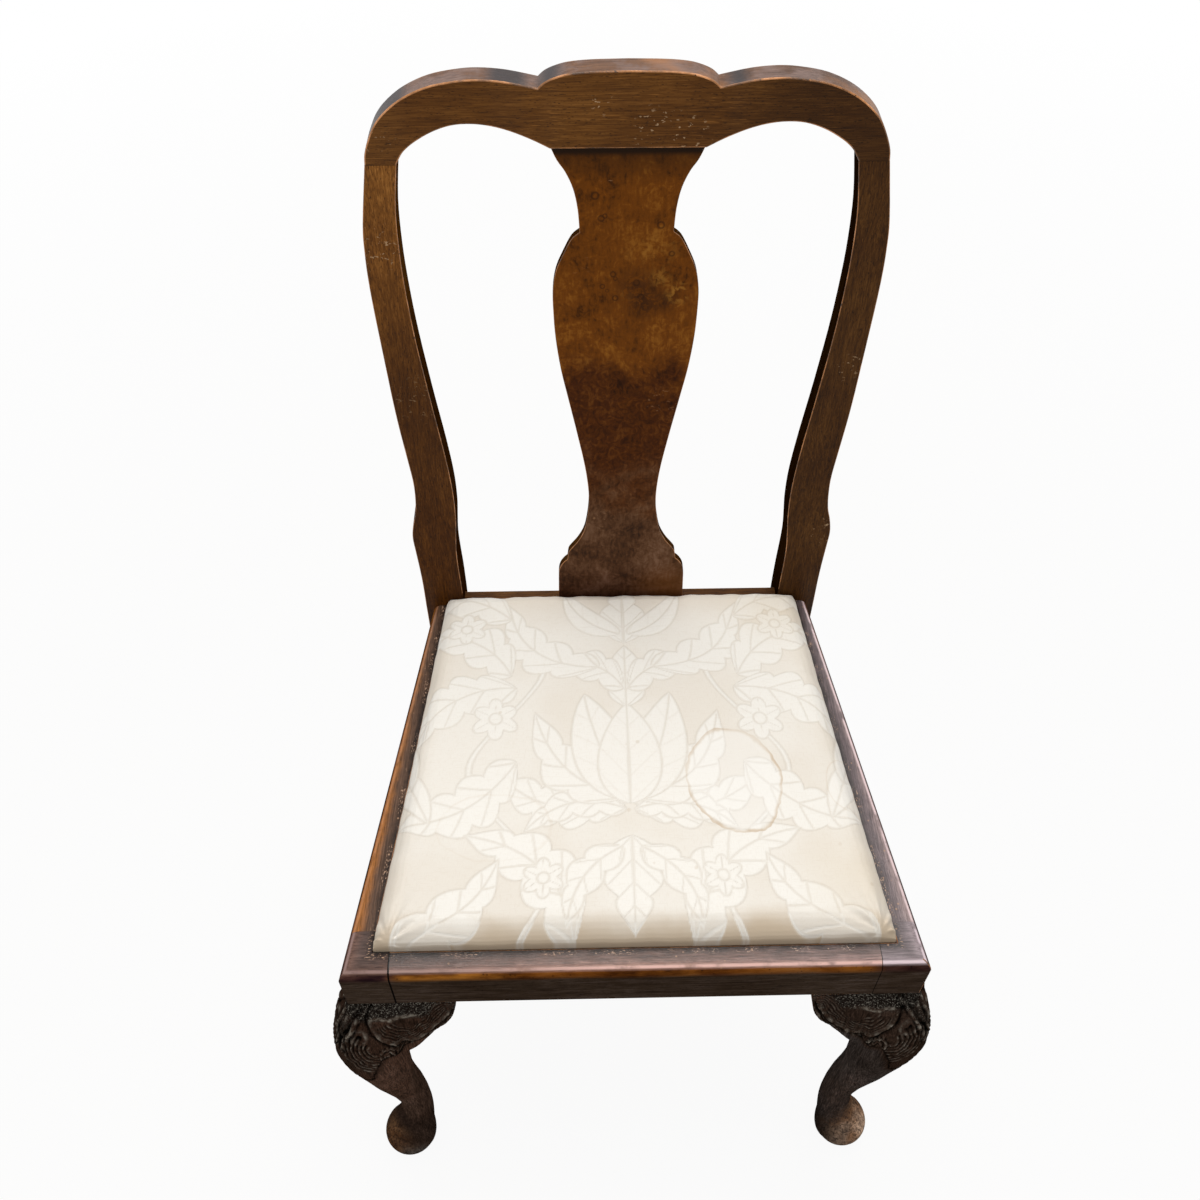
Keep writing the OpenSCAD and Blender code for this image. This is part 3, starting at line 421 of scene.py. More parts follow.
def seat_rail_walnut(name, run, settings, inner, land, outer, specular, shine_share, graded):
    """A seat rail: worn land on top, dark by the cushion; a rounded edge with a painted shine and amber wood below it;
    and a dark plain face.

    inner gives the gap from the cushion. land and outer are the colours of the land's middle and of its outer edge;
    their pale pink and violet tones are in part a painted reflection.
    graded makes the land darker towards the chair's left end and paler towards its right one, as painted shade and
    painted reflection, and weakens the shine on the left.
    """
    f = Finish(name)

    # The plain face, and the amber wood between it and the edge
    pores, fine = timber(f, run, walnut_tones(settings, (0.46, 0.80, 3.1)), 0.9)
    face = f.colour
    mottle = f.noise(55, 4, 0.62, at=f.along(run, 0.3))
    f.colour = f.ramp(mottle, (0.36, (0.060, 0.018, 0.005)), (0.47, (0.190, 0.066, 0.011)),
                      (0.58, (0.380, 0.145, 0.022)), (0.72, (0.540, 0.245, 0.055)))
    f.paint(0.7 * f.step(f.cells(190), 0.20, 0.08), (0.020, 0.008, 0.003))
    f.dim(f.step(f.noise(8, 2), 0.60, 0.40), (0.50, 0.42, 0.42))
    f.fade(abs(f.x), BLOCK_IN - 14 * MM, BLOCK_IN + 6 * MM, (0.26, 0.33, 1.7))
    amber = f.colour
    drop = SEAT_TOP - f.z
    gap = inner(f)
    wander = gap + 9 * MM * (f.noise(70, 4, 0.65) - 0.5)

    # The land, and a dark band on it along the cushion
    top = f.tones(fine, land, (0.30, 0.45), (0.50, 1), (0.72, 1.7))
    edge = f.tones(fine, outer, (0.30, 0.62), (0.50, 1), (0.72, 1.4))
    # Towards the outer edge the land takes a paler tone: in part a painted reflection, and worn orange wood on the left
    # rail
    f.colour = f.blend(f.step(wander, 9 * MM, 19 * MM), top, edge)
    f.paint(0.5 * f.step(pores, 0.57, 0.66), tinted(land, 0.25))
    dark_band_by_cushion = f.step(wander, 10 * MM, 1 * MM) * f.step(f.noise(34, 4, 0.7), 0.22, 0.50)
    f.paint(0.93 * dark_band_by_cushion, (0.014, 0.010, 0.009))

    # Pale chips beside the cushion, and a few anywhere
    dashes = f.noise(1150, 2, 0.6, at=f.along(run, 0.3))
    chips = f.step(dashes, 0.585, 0.63) * f.step(f.noise(38, 2), 0.44, 0.58)
    chips = chips * f.between(gap, 2.5 * MM, 6.5 * MM, 1.5 * MM)
    f.paint(0.9 * chips, (0.62, 0.40, 0.27))
    stray = f.step(f.cells(170), 0.20, 0.12) * f.step(f.noise(60, 1), 0.56, 0.62)
    f.paint(0.6 * stray, (0.48, 0.29, 0.18))

    # The painted shine, a highlight laid on the rounded edge as colour, then the amber and the plain face below
    shine = f.between(drop, 1.0 * MM, 2.4 * MM, 0.5 * MM) * f.step(f.noise(46), 0.30, 0.46)
    # On the front rail, the land's darker left end and paler right end are painted shade and painted reflection, and
    # the painted shine is weaker on the left
    if graded:
        f.fade(f.x, -0.05, -0.23, (0.54, 0.57, 0.60))
        f.fade(f.x, 0.02, 0.20, (1.28, 1.42, 1.60))
        shine = shine * (0.68 * f.step(f.x, -0.15, 0.02) + 0.32)
    bright = tuple(min(1, 2.3 * c + extra) for c, extra in zip(outer, (0.14, 0.13, 0.15)))
    f.paint(shine_share * shine, bright)
    f.paint(f.step(drop, 2.2 * MM, 4.4 * MM), amber)
    f.paint(f.step(drop + 10 * MM * (mottle - 0.5), 6 * MM, 15 * MM), face)

    # The open joint beside each leg block, wider on the left
    width = (0.6 * settings.crack_width) * (f.x < 0.0) + 0.45 * settings.crack_width
    crack = (abs(abs(f.x) - BLOCK_IN) < width) * (f.y < COVER_LOW.y + 6 * MM)
    f.paint(crack, BLACK_GAP)
    relief = f.bump(dashes, 0.30 * MM, f.bump(pores - 6.0 * crack, 0.14 * MM))
    return f.close(0.20 + 0.24 * f.noise(60), relief, specular=specular)


def from_front_land(f):
    """Distance in front of the cushion's front edge."""
    return COVER_LOW.y - f.y


def from_side_land(f):
    """Distance outside the cushion's side edges, which close in towards the back."""
    return abs(f.x) - cover_half_width(f.y)


def from_block_land(f):
    return from_front_land(f) | from_side_land(f)


# The burr's eyes, in millimetres: how far across, how high, and the radius
EYES = ((-26, 898, 3.6), (-21, 879, 3.0), (-18, 881, 2.2), (28, 873, 3.4), (-11, 830, 2.8), (-9, 826, 2.0),
        (-20, 819, 2.4), (-9, 808, 2.8), (-16, 815, 1.7), (9, 822, 3.2), (13, 809, 3.0), (38, 848, 2.6))


def burr_veneer(name, settings):
    """Figured veneer of the splat: amber above, dark and mottled in the middle, plum below, with small eyes."""
    f = Finish(name)
    burr = settings.burr
    low, high = SPLAT_LOW.z, SPLAT_HIGH.z
    curl = f.noise(95, 4, 0.62, 2.2)
    mottle = 0.45 * f.noise(15, 5, 0.58, 1.6) + 0.30 * curl + 0.25 * f.noise(340, 2, 0.6, at=f.along("Z", 0.3))
    amber = f.ramp(mottle, (0.38, tinted(burr, 0.34)), (0.46, tinted(burr, 0.78)), (0.53, burr),
                   (0.64, (0.27, 0.100, 0.012)))
    plum = f.ramp(mottle, (0.38, (0.032, 0.013, 0.006)), (0.47, (0.078, 0.032, 0.013)),
                  (0.55, (0.120, 0.056, 0.027)), (0.66, (0.190, 0.100, 0.058)))
    level = f.z + 0.17 * (f.noise(19, 4, 0.65) - 0.5)
    f.colour = f.blend(f.step(level, low + 0.130, low + 0.190), plum, amber)
    band = f.between(level, low + 0.160, low + 0.285, 0.025) * (0.25 * f.step(curl, 0.62, 0.38) + 0.75)
    f.dim(band, (0.36, 0.30, 0.50))
    f.fade(f.z, low + 0.07, low + 0.01, (0.72, 0.66, 0.74))
    corner = f.near((0.050, SPLAT_LOW.y, low + 0.015), 0.028, 0.024)
    f.paint(0.32 * corner, (0.26, 0.095, 0.018))

    # The burr cluster at the right of the belly: gold flecks round it, dark smudges left of it
    flecks = f.step(f.noise(120, 3, 0.6, 1.0), 0.47, 0.62)
    for centre, radius, share in (((0.044, 0.218, 0.812), 0.008, 0.85), ((0.029, 0.219, 0.826), 0.007, 0.55),
                                  ((0.029, 0.222, 0.853), 0.012, 0.28), ((0.012, 0.222, 0.851), 0.012, 0.22)):
        f.paint(share * flecks * f.near(centre, radius, radius * 0.9), (0.36, 0.160, 0.026))
    smudges = f.step(curl, 0.40, 0.54)
    for centre, radius in (((0.010, 0.218, 0.816), 0.015), ((0.016, 0.217, 0.800), 0.010),
                           ((0.034, 0.217, 0.805), 0.008)):
        f.paint(0.7 * smudges * f.near(centre, radius, radius * 0.9), (0.030, 0.010, 0.003))
    in_plane = f.vector("MULTIPLY", f.place, (1, 0, 1))
    for across, height, radius in EYES:
        gap = f.vector("DISTANCE", in_plane, (across * MM, 0, height * MM), out=1)
        ring = f.between(gap, radius * 0.55 * MM, radius * MM, 0.5 * MM)
        f.paint(0.62 * ring, (0.028, 0.009, 0.002))

    # The shade under the crest rail, and knocks
    f.paint(f.step(f.z, high - 9 * MM, high - 4 * MM), (0.006, 0.003, 0.002))
    f.paint(0.5 * f.step(f.z, high - 34 * MM, high - 8 * MM), (0.030, 0.012, 0.003))
    knocks = (((-0.016, 0.228, 0.908), 0.006), ((-0.02, 0.192, 0.565), 0.012))
    knock(f, (0.34, 0.18, 0.09), knocks, 0.5)
    return f.close(0.27 + 0.16 * f.noise(30), f.bump(curl, 0.08 * MM), specular=0.06)


def leg_walnut(name, wear, plain):
    """Dark carved leg: near black in the hollows, from old wax and painted shade; greyer on the ridges, from dust and a
    painted highlight; rubbed where wear says.

    wear is a list of (centre, radius, colour): patches of rubbed wood and, on the feet, of painted highlight and sheen;
    plain is how much lighter the uncarved part is in each colour.
    """
    f = Finish(name)
    tones = [(0.0122, 0.0074, 0.0050), (0.035, 0.0212, 0.0150), (0.073, 0.045, 0.033)]
    pores = timber(f, "Z", tones, 1.1)[0]
    f.dim(f.stored("plain"), plain)
    f.fade(f.z, 95 * MM, 40 * MM, (0.56, 0.57, 0.58))
    warm = f.step(f.noise(14, at=f.along("Z", 0.4)), 0.46, 0.62) * f.step(pores, 0.60, 0.48)
    f.dim(0.35 * warm, (1.9, 1.45, 1.25))

    # What the carving stores on the mesh: ridges, greyed as dust and a painted highlight; pricked ground; and hollows,
    # blackened as old wax and painted shade
    rub = f.noise(170, 3, 0.6)
    grey = f.blend(f.step(rub, 0.36, 0.62), (0.085, 0.060, 0.043), (0.26, 0.235, 0.20))
    f.paint(f.stored("ridge") * f.step(rub, 0.20, 0.55), grey)
    grain = f.noise(690, 3, 0.7)
    flecks = f.blend(f.step(grain, 0.53, 0.64), (0.0075, 0.006, 0.005), (0.24, 0.225, 0.195))
    f.paint(0.85 * f.stored("stipple"), flecks)
    f.paint(f.stored("hollow"), (0.0022, 0.0017, 0.0014))

    edge = 1.6 * f.noise(34, 4, 0.6) - 0.3
    mottle = f.noise(150, 5, 0.72, 0.8)
    scratch = 0.8 * f.step(f.noise(520, 2, 0.6, 0.6, at=f.along("Z", 0.22)), 0.55, 0.61)
    bare = f.step(f.noise(33), 0.38, 0.62)
    # Patches of rubbed wood, and on the feet painted highlights and a painted sheen
    for centre, radius, tone in wear:
        worn = f.tones(mottle, tone, (0.36, 0.22), (0.47, 0.70), (0.56, 1), (0.66, 1.3))
        worn = f.blend(scratch, worn, tinted(tone, 0.10))
        worn = f.blend(bare, f.times(worn, (0.60, 0.48, 0.38)), worn)
        f.paint(edge * f.near(centre, radius, radius * 0.75), worn)
    return f.close(0.32 + 0.20 * rub, f.bump(grain, 0.18 * MM, strength=0.5), specular=0.0)


def beech(name, run):
    f = Finish(name)
    pores = timber(f, run, [(0.34, 0.22, 0.12), (0.50, 0.35, 0.20), (0.60, 0.45, 0.28)], 0.7)[0]
    f.paint(0.4 * f.step(f.noise(18, 4), 0.45, 0.70), (0.20, 0.14, 0.09))
    return f.close(0.62, f.bump(pores, 0.15 * MM), specular=0.3)


def steel(name, tone, rust):
    f = Finish(name)
    patch = f.noise(240, 4, 0.6)
    f.colour = f.blend(f.step(patch, 0.50, 0.62), tone, rust)
    return f.close(0.32 + 0.3 * patch, f.bump(patch, 0.05 * MM), metallic=0.85)


def woven(name, light, dark, pitch, depth):
    """A plain weave in plan, with one thread each way per pitch."""
    f = Finish(name)
    warp, weft = (f.math("SINE", (2 * math.pi / pitch) * way) for way in (f.x, f.y))
    cloth = 0.5 * warp * weft + 0.5
    f.colour = f.blend(f.step(cloth, 0.1, 0.8), dark, light)
    f.paint(0.35 * f.step(f.noise(30, 4, 0.7), 0.40, 0.70), tinted(dark, 0.8))
    return f.close(0.85, f.bump(cloth, depth), specular=0.15, sheen=0.15, sheen_roughness=0.5)


# The seat's damask

# The damask's figure, in millimetres from the seat's middle and mirrored left to right.
# A leaf is its root, its tip, its half width, how far its middle bows, and the lobes along its edge.
LEAVES = (
    ((4, -70), (128, -30), 30, -22, 5),
    ((4, -76), (96, -98), 22, 17, 4),
    ((2, -64), (86, 30), 34, -22, 3),
    ((0, -66), (40, 52), 38, -8, 0),
    ((0, -70), (0, 40), 40, 0, 0),
    ((0, 36), (0, 112), 26, 0, 3),
    ((2, 58), (78, 82), 27, 18, 3),
    ((26, 84), (118, 168), 34, -26, 4),
    ((116, 150), (214, 176), 30, 16, 3),
    ((110, 74), (214, 132), 36, 22, 4),
    ((104, 58), (206, -2), 36, 22, 4),
    ((106, -26), (214, -84), 34, -20, 4),
    ((182, -84), (216, 62), 20, -10, 3),
    ((52, -196), (150, -96), 38, 24, 4),
    ((206, -198), (118, -120), 30, 16, 3),
    ((0, -102), (0, -190), 34, 0, 3),
    ((8, -112), (58, -186), 22, 12, 3),
    ((0, 116), (0, 196), 30, 0, 3),
    ((4, 128), (58, 190), 20, -12, 0),
)
# A flower is its middle, its radius and how many petals it has
FLOWERS = (((126, 22), 24, 6), ((158, 140), 20, 6), ((78, -142), 19, 6))


def leaf_shape(u, v, root, tip, half_width, bow, lobes):
    """How deep inside a leaf each place is, in mm, and how strongly one of the leaf's veins shows there."""
    run = np.subtract(tip, root)
    length = np.hypot(*run)
    ahead = run / length
    whole = ((u - root[0]) * ahead[0] + (v - root[1]) * ahead[1]) / length
    share = np.clip(whole, 0, 1)
    off = (v - root[1]) * ahead[0] - (u - root[0]) * ahead[1]
    off = np.abs(off - 4 * bow * share * (1 - share))
    reach = 1.9 * half_width * share ** 0.55 * (1 - share) ** 0.85
    if lobes:
        reach = reach * (0.64 + 0.40 * np.abs(np.sin(np.pi * lobes * share)) ** 0.7)
    depth = reach - np.hypot(off, (whole - share) * length)
    ribs = np.cos(2 * np.pi * (off * 1.15 - share * length) / (length / max(lobes, 4)))
    vein = np.maximum(hump(off, 0.9), ease(ribs, 0.92, 1.0) * (0.7 if lobes else 0.25))
    return depth, vein * ease(depth, 0.5, 3)


def flower_shape(u, v, middle, radius, petals):
    out = np.hypot(u - middle[0], v - middle[1])
    turn = np.arctan2(u - middle[0], v - middle[1])
    depth = radius * (0.62 + 0.38 * np.abs(np.cos(turn * petals / 2))) - out
    between = hump(np.sin(turn * petals / 2) * out, 0.8) * ease(out, radius * 0.3, radius * 0.4)
    vein = hump(out - radius * 0.27, 0.9) + between
    return depth, vein * ease(depth, 0.5, 2.5)


def stem_shape(u, v):
    """Two long stems that wave from the front of the seat to its back."""
    off = np.abs(u - 112 - 34 * np.cos(2 * np.pi * v / 236 + 0.9))
    return 2.6 - off, np.zeros(u.shape)


def figure_at(x, y):
    """The damask's figure: how deep in it each place is, in mm, and how strongly a drawn line shows there."""
    sway = np.array([[noise.noise((a * 12, b * 12, layer)) for layer in (1, 5)] for a, b in zip(x, y)])
    u = np.abs(x) / MM + 5 * sway[:, 0]
    v = (y - SEAT_MIDDLE) / MM + 5 * sway[:, 1]
    shapes = [stem_shape(u, v)]
    shapes += [leaf_shape(u, v, *leaf) for leaf in LEAVES]
    shapes += [flower_shape(u, v, *flower) for flower in FLOWERS]
    figure = np.full(x.shape, -99.0)
    lines = np.zeros(x.shape)
    for depth, vein in shapes:
        lines = np.where(depth > 0, vein, lines)
        lines = np.maximum(lines, hump(depth - 0.3, 0.95))
        figure = np.maximum(figure, depth)
    return figure, np.clip(1.25 * lines, 0, 1)


def damask(name, settings):
    """Ivory satin with a generic mirrored figure of leaves, flowers and stems, tone on tone, dirty at its edges, with
    painted shade there and on its walls.
    """
    f = Finish(name)
    figure_tone, ground_tone, soil_and_shade = settings.damask, settings.damask_ground, settings.damask_soil_and_shade
    figure = f.step(f.stored("figure"), -0.4, 0.4)
    lines = f.stored("lines")

    # Dirt and painted shade along the edges, the ground, the figure and its drawn lines
    drift = 30 * MM * (f.noise(17) - 0.5)
    along = f.y + drift
    front = f.step(along, COVER_LOW.y + 26 * MM, COVER_LOW.y + 1 * MM)
    back = 0.42 * f.step(along, COVER_HIGH.y - 66 * MM, COVER_HIGH.y - 4 * MM)
    flank = 0.30 * f.step(0.5 * drift - from_side_land(f), 30 * MM, 2 * MM)
    edge = front | back | flank
    ground = f.blend(0.55 * f.step(f.noise(9, 2), 0.38, 0.58), ground_tone, figure_tone)
    ground = f.blend(0.85 * edge, ground, soil_and_shade)
    f.colour = f.blend(figure, ground, f.blend(0.32 * edge, figure_tone, soil_and_shade))
    bright = f.step(edge, 0.25, 0.60)
    line_tone = f.blend(bright, f.times(ground, (0.80, 0.765, 0.72)), figure_tone)
    f.paint(lines * (0.35 * bright + 0.50), line_tone)

    # The weave, the walls darkened as painted shade, and two tan patches on the right
    weave = f.noise(1000, 2, at=f.along("Y", 0.22))
    cross = f.noise(800, 2, at=f.along("X", 0.15))
    f.paint(0.10 * (f.step(weave, 0.50, 0.72) | f.step(cross, 0.52, 0.74)), soil_and_shade)
    # The walls, which face sideways rather than up, are darkened: painted shade
    f.paint(0.55 * f.step(f.facing()[2], 0.55, 0.10), tinted(soil_and_shade, 0.8))
    tan_patches = f.near((0.19, COVER_LOW.y + 0.05, 0.47), 0.03, 0.04)
    tan_patches = tan_patches | f.near((0.155, COVER_HIGH.y - 0.03, 0.47), 0.03, 0.04)
    f.paint(0.22 * tan_patches, (0.62, 0.47, 0.25))
    spots = f.step(f.cells(38), 0.10, 0.05) * f.step(f.noise(31, 1), 0.55, 0.62)
    f.paint(0.30 * spots, soil_and_shade)

    # Water stains, each paler inside and with a brown tide mark round it
    ragged = 0.55 * (f.noise(14, 4, 0.6) - 0.5)
    broken = 0.65 * f.step(f.noise(26, 2), 0.36, 0.60) + 0.35
    for centre, radii, amount in STAINS:
        spot = f.vector("MULTIPLY", f.vector("SUBTRACT", f.place, (*centre, 0)), (1 / radii[0], 1 / radii[1], 0))
        reach = f.vector("LENGTH", spot, out=1) + ragged
        f.paint(0.5 * amount * f.step(reach, 1.0, 0.90), (0.87, 0.86, 0.83))
        tide = f.step(reach, 0.93, 0.99) * f.step(reach, 1.02, 1.0)
        f.paint(amount * tide * broken, (0.56, 0.44, 0.31))
    relief = f.bump(weave + cross, 0.06 * MM, f.bump(0.5 * figure - 0.7 * lines, 0.40 * MM))
    return f.close(0.60 - 0.14 * figure, relief, specular=0.25, sheen=0.10, sheen_roughness=0.45)


# Shapes: small tools for meshes

def placed(name, data):
    thing = bpy.data.objects.new(name, data)
    bpy.context.scene.collection.objects.link(thing)
    return thing


def hang(mesh, name, body, replaced):
    """Makes a piece of a mesh, on a body of the frame, in place of CAD nodes."""
    piece = placed(name, mesh)
    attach(piece, body)
    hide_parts(*replaced)
    return piece


def places(mesh, what="co"):
    """The places of a mesh's points, or another triple that each point has."""
    flat = np.empty(len(mesh.vertices) * 3)
    mesh.vertices.foreach_get(what, flat)
    return flat.reshape(-1, 3)


def put_places(mesh, points):
    mesh.vertices.foreach_set("co", points.astype(np.float32).ravel())
    mesh.update()


def store(mesh, **values):
    for name, value in values.items():
        mesh.attributes.new(name, "FLOAT", "POINT").data.foreach_set("value", value.astype(np.float32))


def smooth_faces(mesh):
    mesh.polygons.foreach_set("use_smooth", [True] * len(mesh.polygons))
    mesh.update()


def mesh_from(name, points, faces):
    mesh = bpy.data.meshes.new(name)
    mesh.from_pydata(points, [], faces)
    mesh.update()
    return mesh


def baked(piece):
    """The mesh of an object with its modifiers applied."""
    bpy.context.view_layer.update()
    graph = bpy.context.evaluated_depsgraph_get()
    return bpy.data.meshes.new_from_object(piece.evaluated_get(graph))


def shape_of(mesh):
    shape = bmesh.new()
    shape.from_mesh(mesh)
    return shape


def mesh_of(shape, mesh):
    """Writes a shape into a mesh, or into a new one of that name, and lets go of the shape."""
    if isinstance(mesh, str):
        mesh = bpy.data.meshes.new(mesh)
    shape.to_mesh(mesh)
    shape.free()
    return mesh


def welded(mesh):
    shape = shape_of(mesh)
    bmesh.ops.remove_doubles(shape, verts=shape.verts, dist=0.01 * MM)
    return shape


def slice_off(shape, point, direction, **cleared):
    """Cuts a shape at a plane, clears what is on one side of it, and closes the cut."""
    whole = shape.verts[:] + shape.edges[:] + shape.faces[:]
    cut = bmesh.ops.bisect_plane(shape, geom=whole, plane_co=point, plane_no=direction, **cleared)
    rim = [part for part in cut["geom_cut"] if isinstance(part, bmesh.types.BMEdge)]
    bmesh.ops.contextual_create(shape, geom=rim)


def neighbours(name):
    """One search tree over all other CAD nodes on a node's body."""
    body = NODES[name]["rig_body"]
    points, faces = [], []
    for mesh in (node.data for other, node in NODES.items() if node["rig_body"] == body and other != name):
        start = len(points)
        points += [v.co for v in mesh.vertices]
        faces += [[start + i for i in p.vertices] for p in mesh.polygons]
    return BVHTree.FromPolygons(points, faces)


def outer_edges(shape, others, cut_height=None):
    """The outward edges sharper than 30 degrees, split into free ones and ones where another piece touches."""
    free, touching = [], []
    for edge in shape.edges:
        if len(edge.link_faces) != 2 or edge.calc_face_angle_signed(0) < math.radians(30):
            continue
        middle = (edge.verts[0].co + edge.verts[1].co) / 2
        at_cut = cut_height is not None and abs(middle.z - cut_height) < 0.1 * MM
        alone = at_cut or others.find_nearest(middle, 0.15 * MM)[0] is None
        (free if alone else touching).append(edge)
    return free, touching


def worn_copy(name, skins, width, seam, above=None, fourth=lambda normal: abs(normal.z) < 0.75):
    """A CAD node's own shape with its free edges worn round and its joint edges just broken.

    skins are the materials of the surface, the worn edges, the joints and, if there are four, of the faces that
    fourth picks by their direction. above keeps only what is over that height.
    """
    shape = welded(NODES[name].data)
    if above is not None:
        slice_off(shape, (0, 0, above), (0, 0, 1), clear_inner=True)
    bmesh.ops.dissolve_limit(shape, angle_limit=math.radians(0.4), verts=shape.verts, edges=shape.edges)
    bmesh.ops.recalc_face_normals(shape, faces=shape.faces)
    for face in shape.faces:
        face.material_index = 0
    others = neighbours(name)
    for kind, offset, segments in ((0, width, 3), (1, seam, 1)):
        edges = outer_edges(shape, others, above)[kind]
        if edges:
            bmesh.ops.bevel(shape, geom=edges, offset=offset, segments=segments, material=kind + 1, profile=0.5,
                            offset_type="OFFSET", affect="EDGES", clamp_overlap=True)
    if len(skins) > 3:
        for face in shape.faces:
            if face.material_index == 0 and fourth(face.normal):
                face.material_index = 3
    mesh = mesh_of(shape, name + "_dressed")
    for skin in skins:
        mesh.materials.append(skin)
    smooth_faces(mesh)
    return mesh


def keep_flats(piece):
    """Lets the large flat faces set the shading, so that the rounded edges alone catch the light."""
    weigh = piece.modifiers.new("flat shading", "WEIGHTED_NORMAL")
    weigh.weight = 80
    weigh.keep_sharp = False


def eased(draft, rounds, group=""):
    """Smooths a draft object, all over or in one group of its points; gives back the mesh and removes the draft."""
    smooth = draft.modifiers.new("ease", "SMOOTH")
    smooth.iterations, smooth.factor, smooth.vertex_group = rounds, 0.5, group
    mesh = baked(draft)
    bpy.data.objects.remove(draft)
    return mesh


def even_skin(mesh, size, rounds, low_rounds, low_top):
    """The same solid under an even skin of small faces, its facets eased away, more so below a height."""
    draft = placed("draft", mesh)
    skin = draft.modifiers.new("skin", "REMESH")
    skin.mode, skin.voxel_size = "VOXEL", size
    even = eased(draft, rounds)
    draft = placed("draft", even)
    low = draft.vertex_groups.new(name="low")
    for index, point in enumerate(places(even)):
        if point[2] < low_top:
            low.add([index], min(1.0, (low_top - point[2]) / (20 * MM)), "REPLACE")
    return eased(draft, low_rounds, "low")


def through(points, each=6):
    """A smooth line through a few points, as Catmull and Rom draw it."""
    p = np.array(points, float)
    p = np.vstack([2 * p[0] - p[1], p, 2 * p[-1] - p[-2]])
    line = []
    for a, b, c, d in zip(p[:-3], p[1:-2], p[2:-1], p[3:]):
        for t in np.arange(each) / each:
            curve = 2 * b + (c - a) * t + (2 * a - 5 * b + 4 * c - d) * t ** 2 + (3 * b - a - 3 * c + d) * t ** 3
            line.append(0.5 * curve)
    line.append(p[-2])
    return np.array(line)


def measure(line, u, v):
    """For each place (u, v): its distance to a line, the side it is on, and the share of the line nearest to it."""
    best, side, share = np.full(u.shape, 1e9), np.zeros(u.shape), np.zeros(u.shape)
    count = len(line) - 1
    for i in range(count):
        a, b = line[i], line[i + 1]
        run = b - a
        length = max(run @ run, 1e-12)
        t = np.clip(((u - a[0]) * run[0] + (v - a[1]) * run[1]) / length, 0, 1)
        du, dv = u - a[0] - t * run[0], v - a[1] - t * run[1]
        gap = np.hypot(du, dv)
        closer = gap < best
        best = np.where(closer, gap, best)
        side = np.where(closer, np.sign(run[0] * dv - run[1] * du), side)
        share = np.where(closer, (i + t) / count, share)
    return best, side, share


def ease(value, low, high):
    """0 at low, 1 at high, smooth between."""
    t = np.clip((value - low) / (high - low), 0, 1)
    return t * t * (3 - 2 * t)


def hump(gap, width):
    return np.exp(-(gap / width) ** 2)


# The carving of the knees. Places are in millimetres: along the face from the seat frame's corner, and below the rail.

KNEE_RIB = ((17, 3), (10, 14), (0, 29), (-9, 46), (-14, 62))
OUTER_RIB = ((10, 2), (3, 12), (-6, 26), (-13, 42), (-17, 56))
LEAF_RIM = ((17, 17), (20, 30), (29, 41), (40, 49), (52, 52), (64, 44), (76, 33), (86, 18))
EAR_RIM = ((42, 80), (52, 70), (62, 57), (72, 46), (82, 38), (88, 26), (92, 10))
FIELD_END = ((46, 60), (37, 63), (27, 66), (20, 77), (12, 104), (4, 128), (-14, 140))
SCROLL_EYE = (18, 52)
SCROLL_SQUASH = 0.75
SCROLL_INNER, SCROLL_OUTER, SCROLL_PITCH = 3.5, 31.0, 3.9
CURL_EYE = (5, 37)
WHORL = (29, 61)
BAND_DEPTH = 19
SEAT_CORNER = 0.250
CARVED_LOW = RAIL_BOTTOM - 0.135


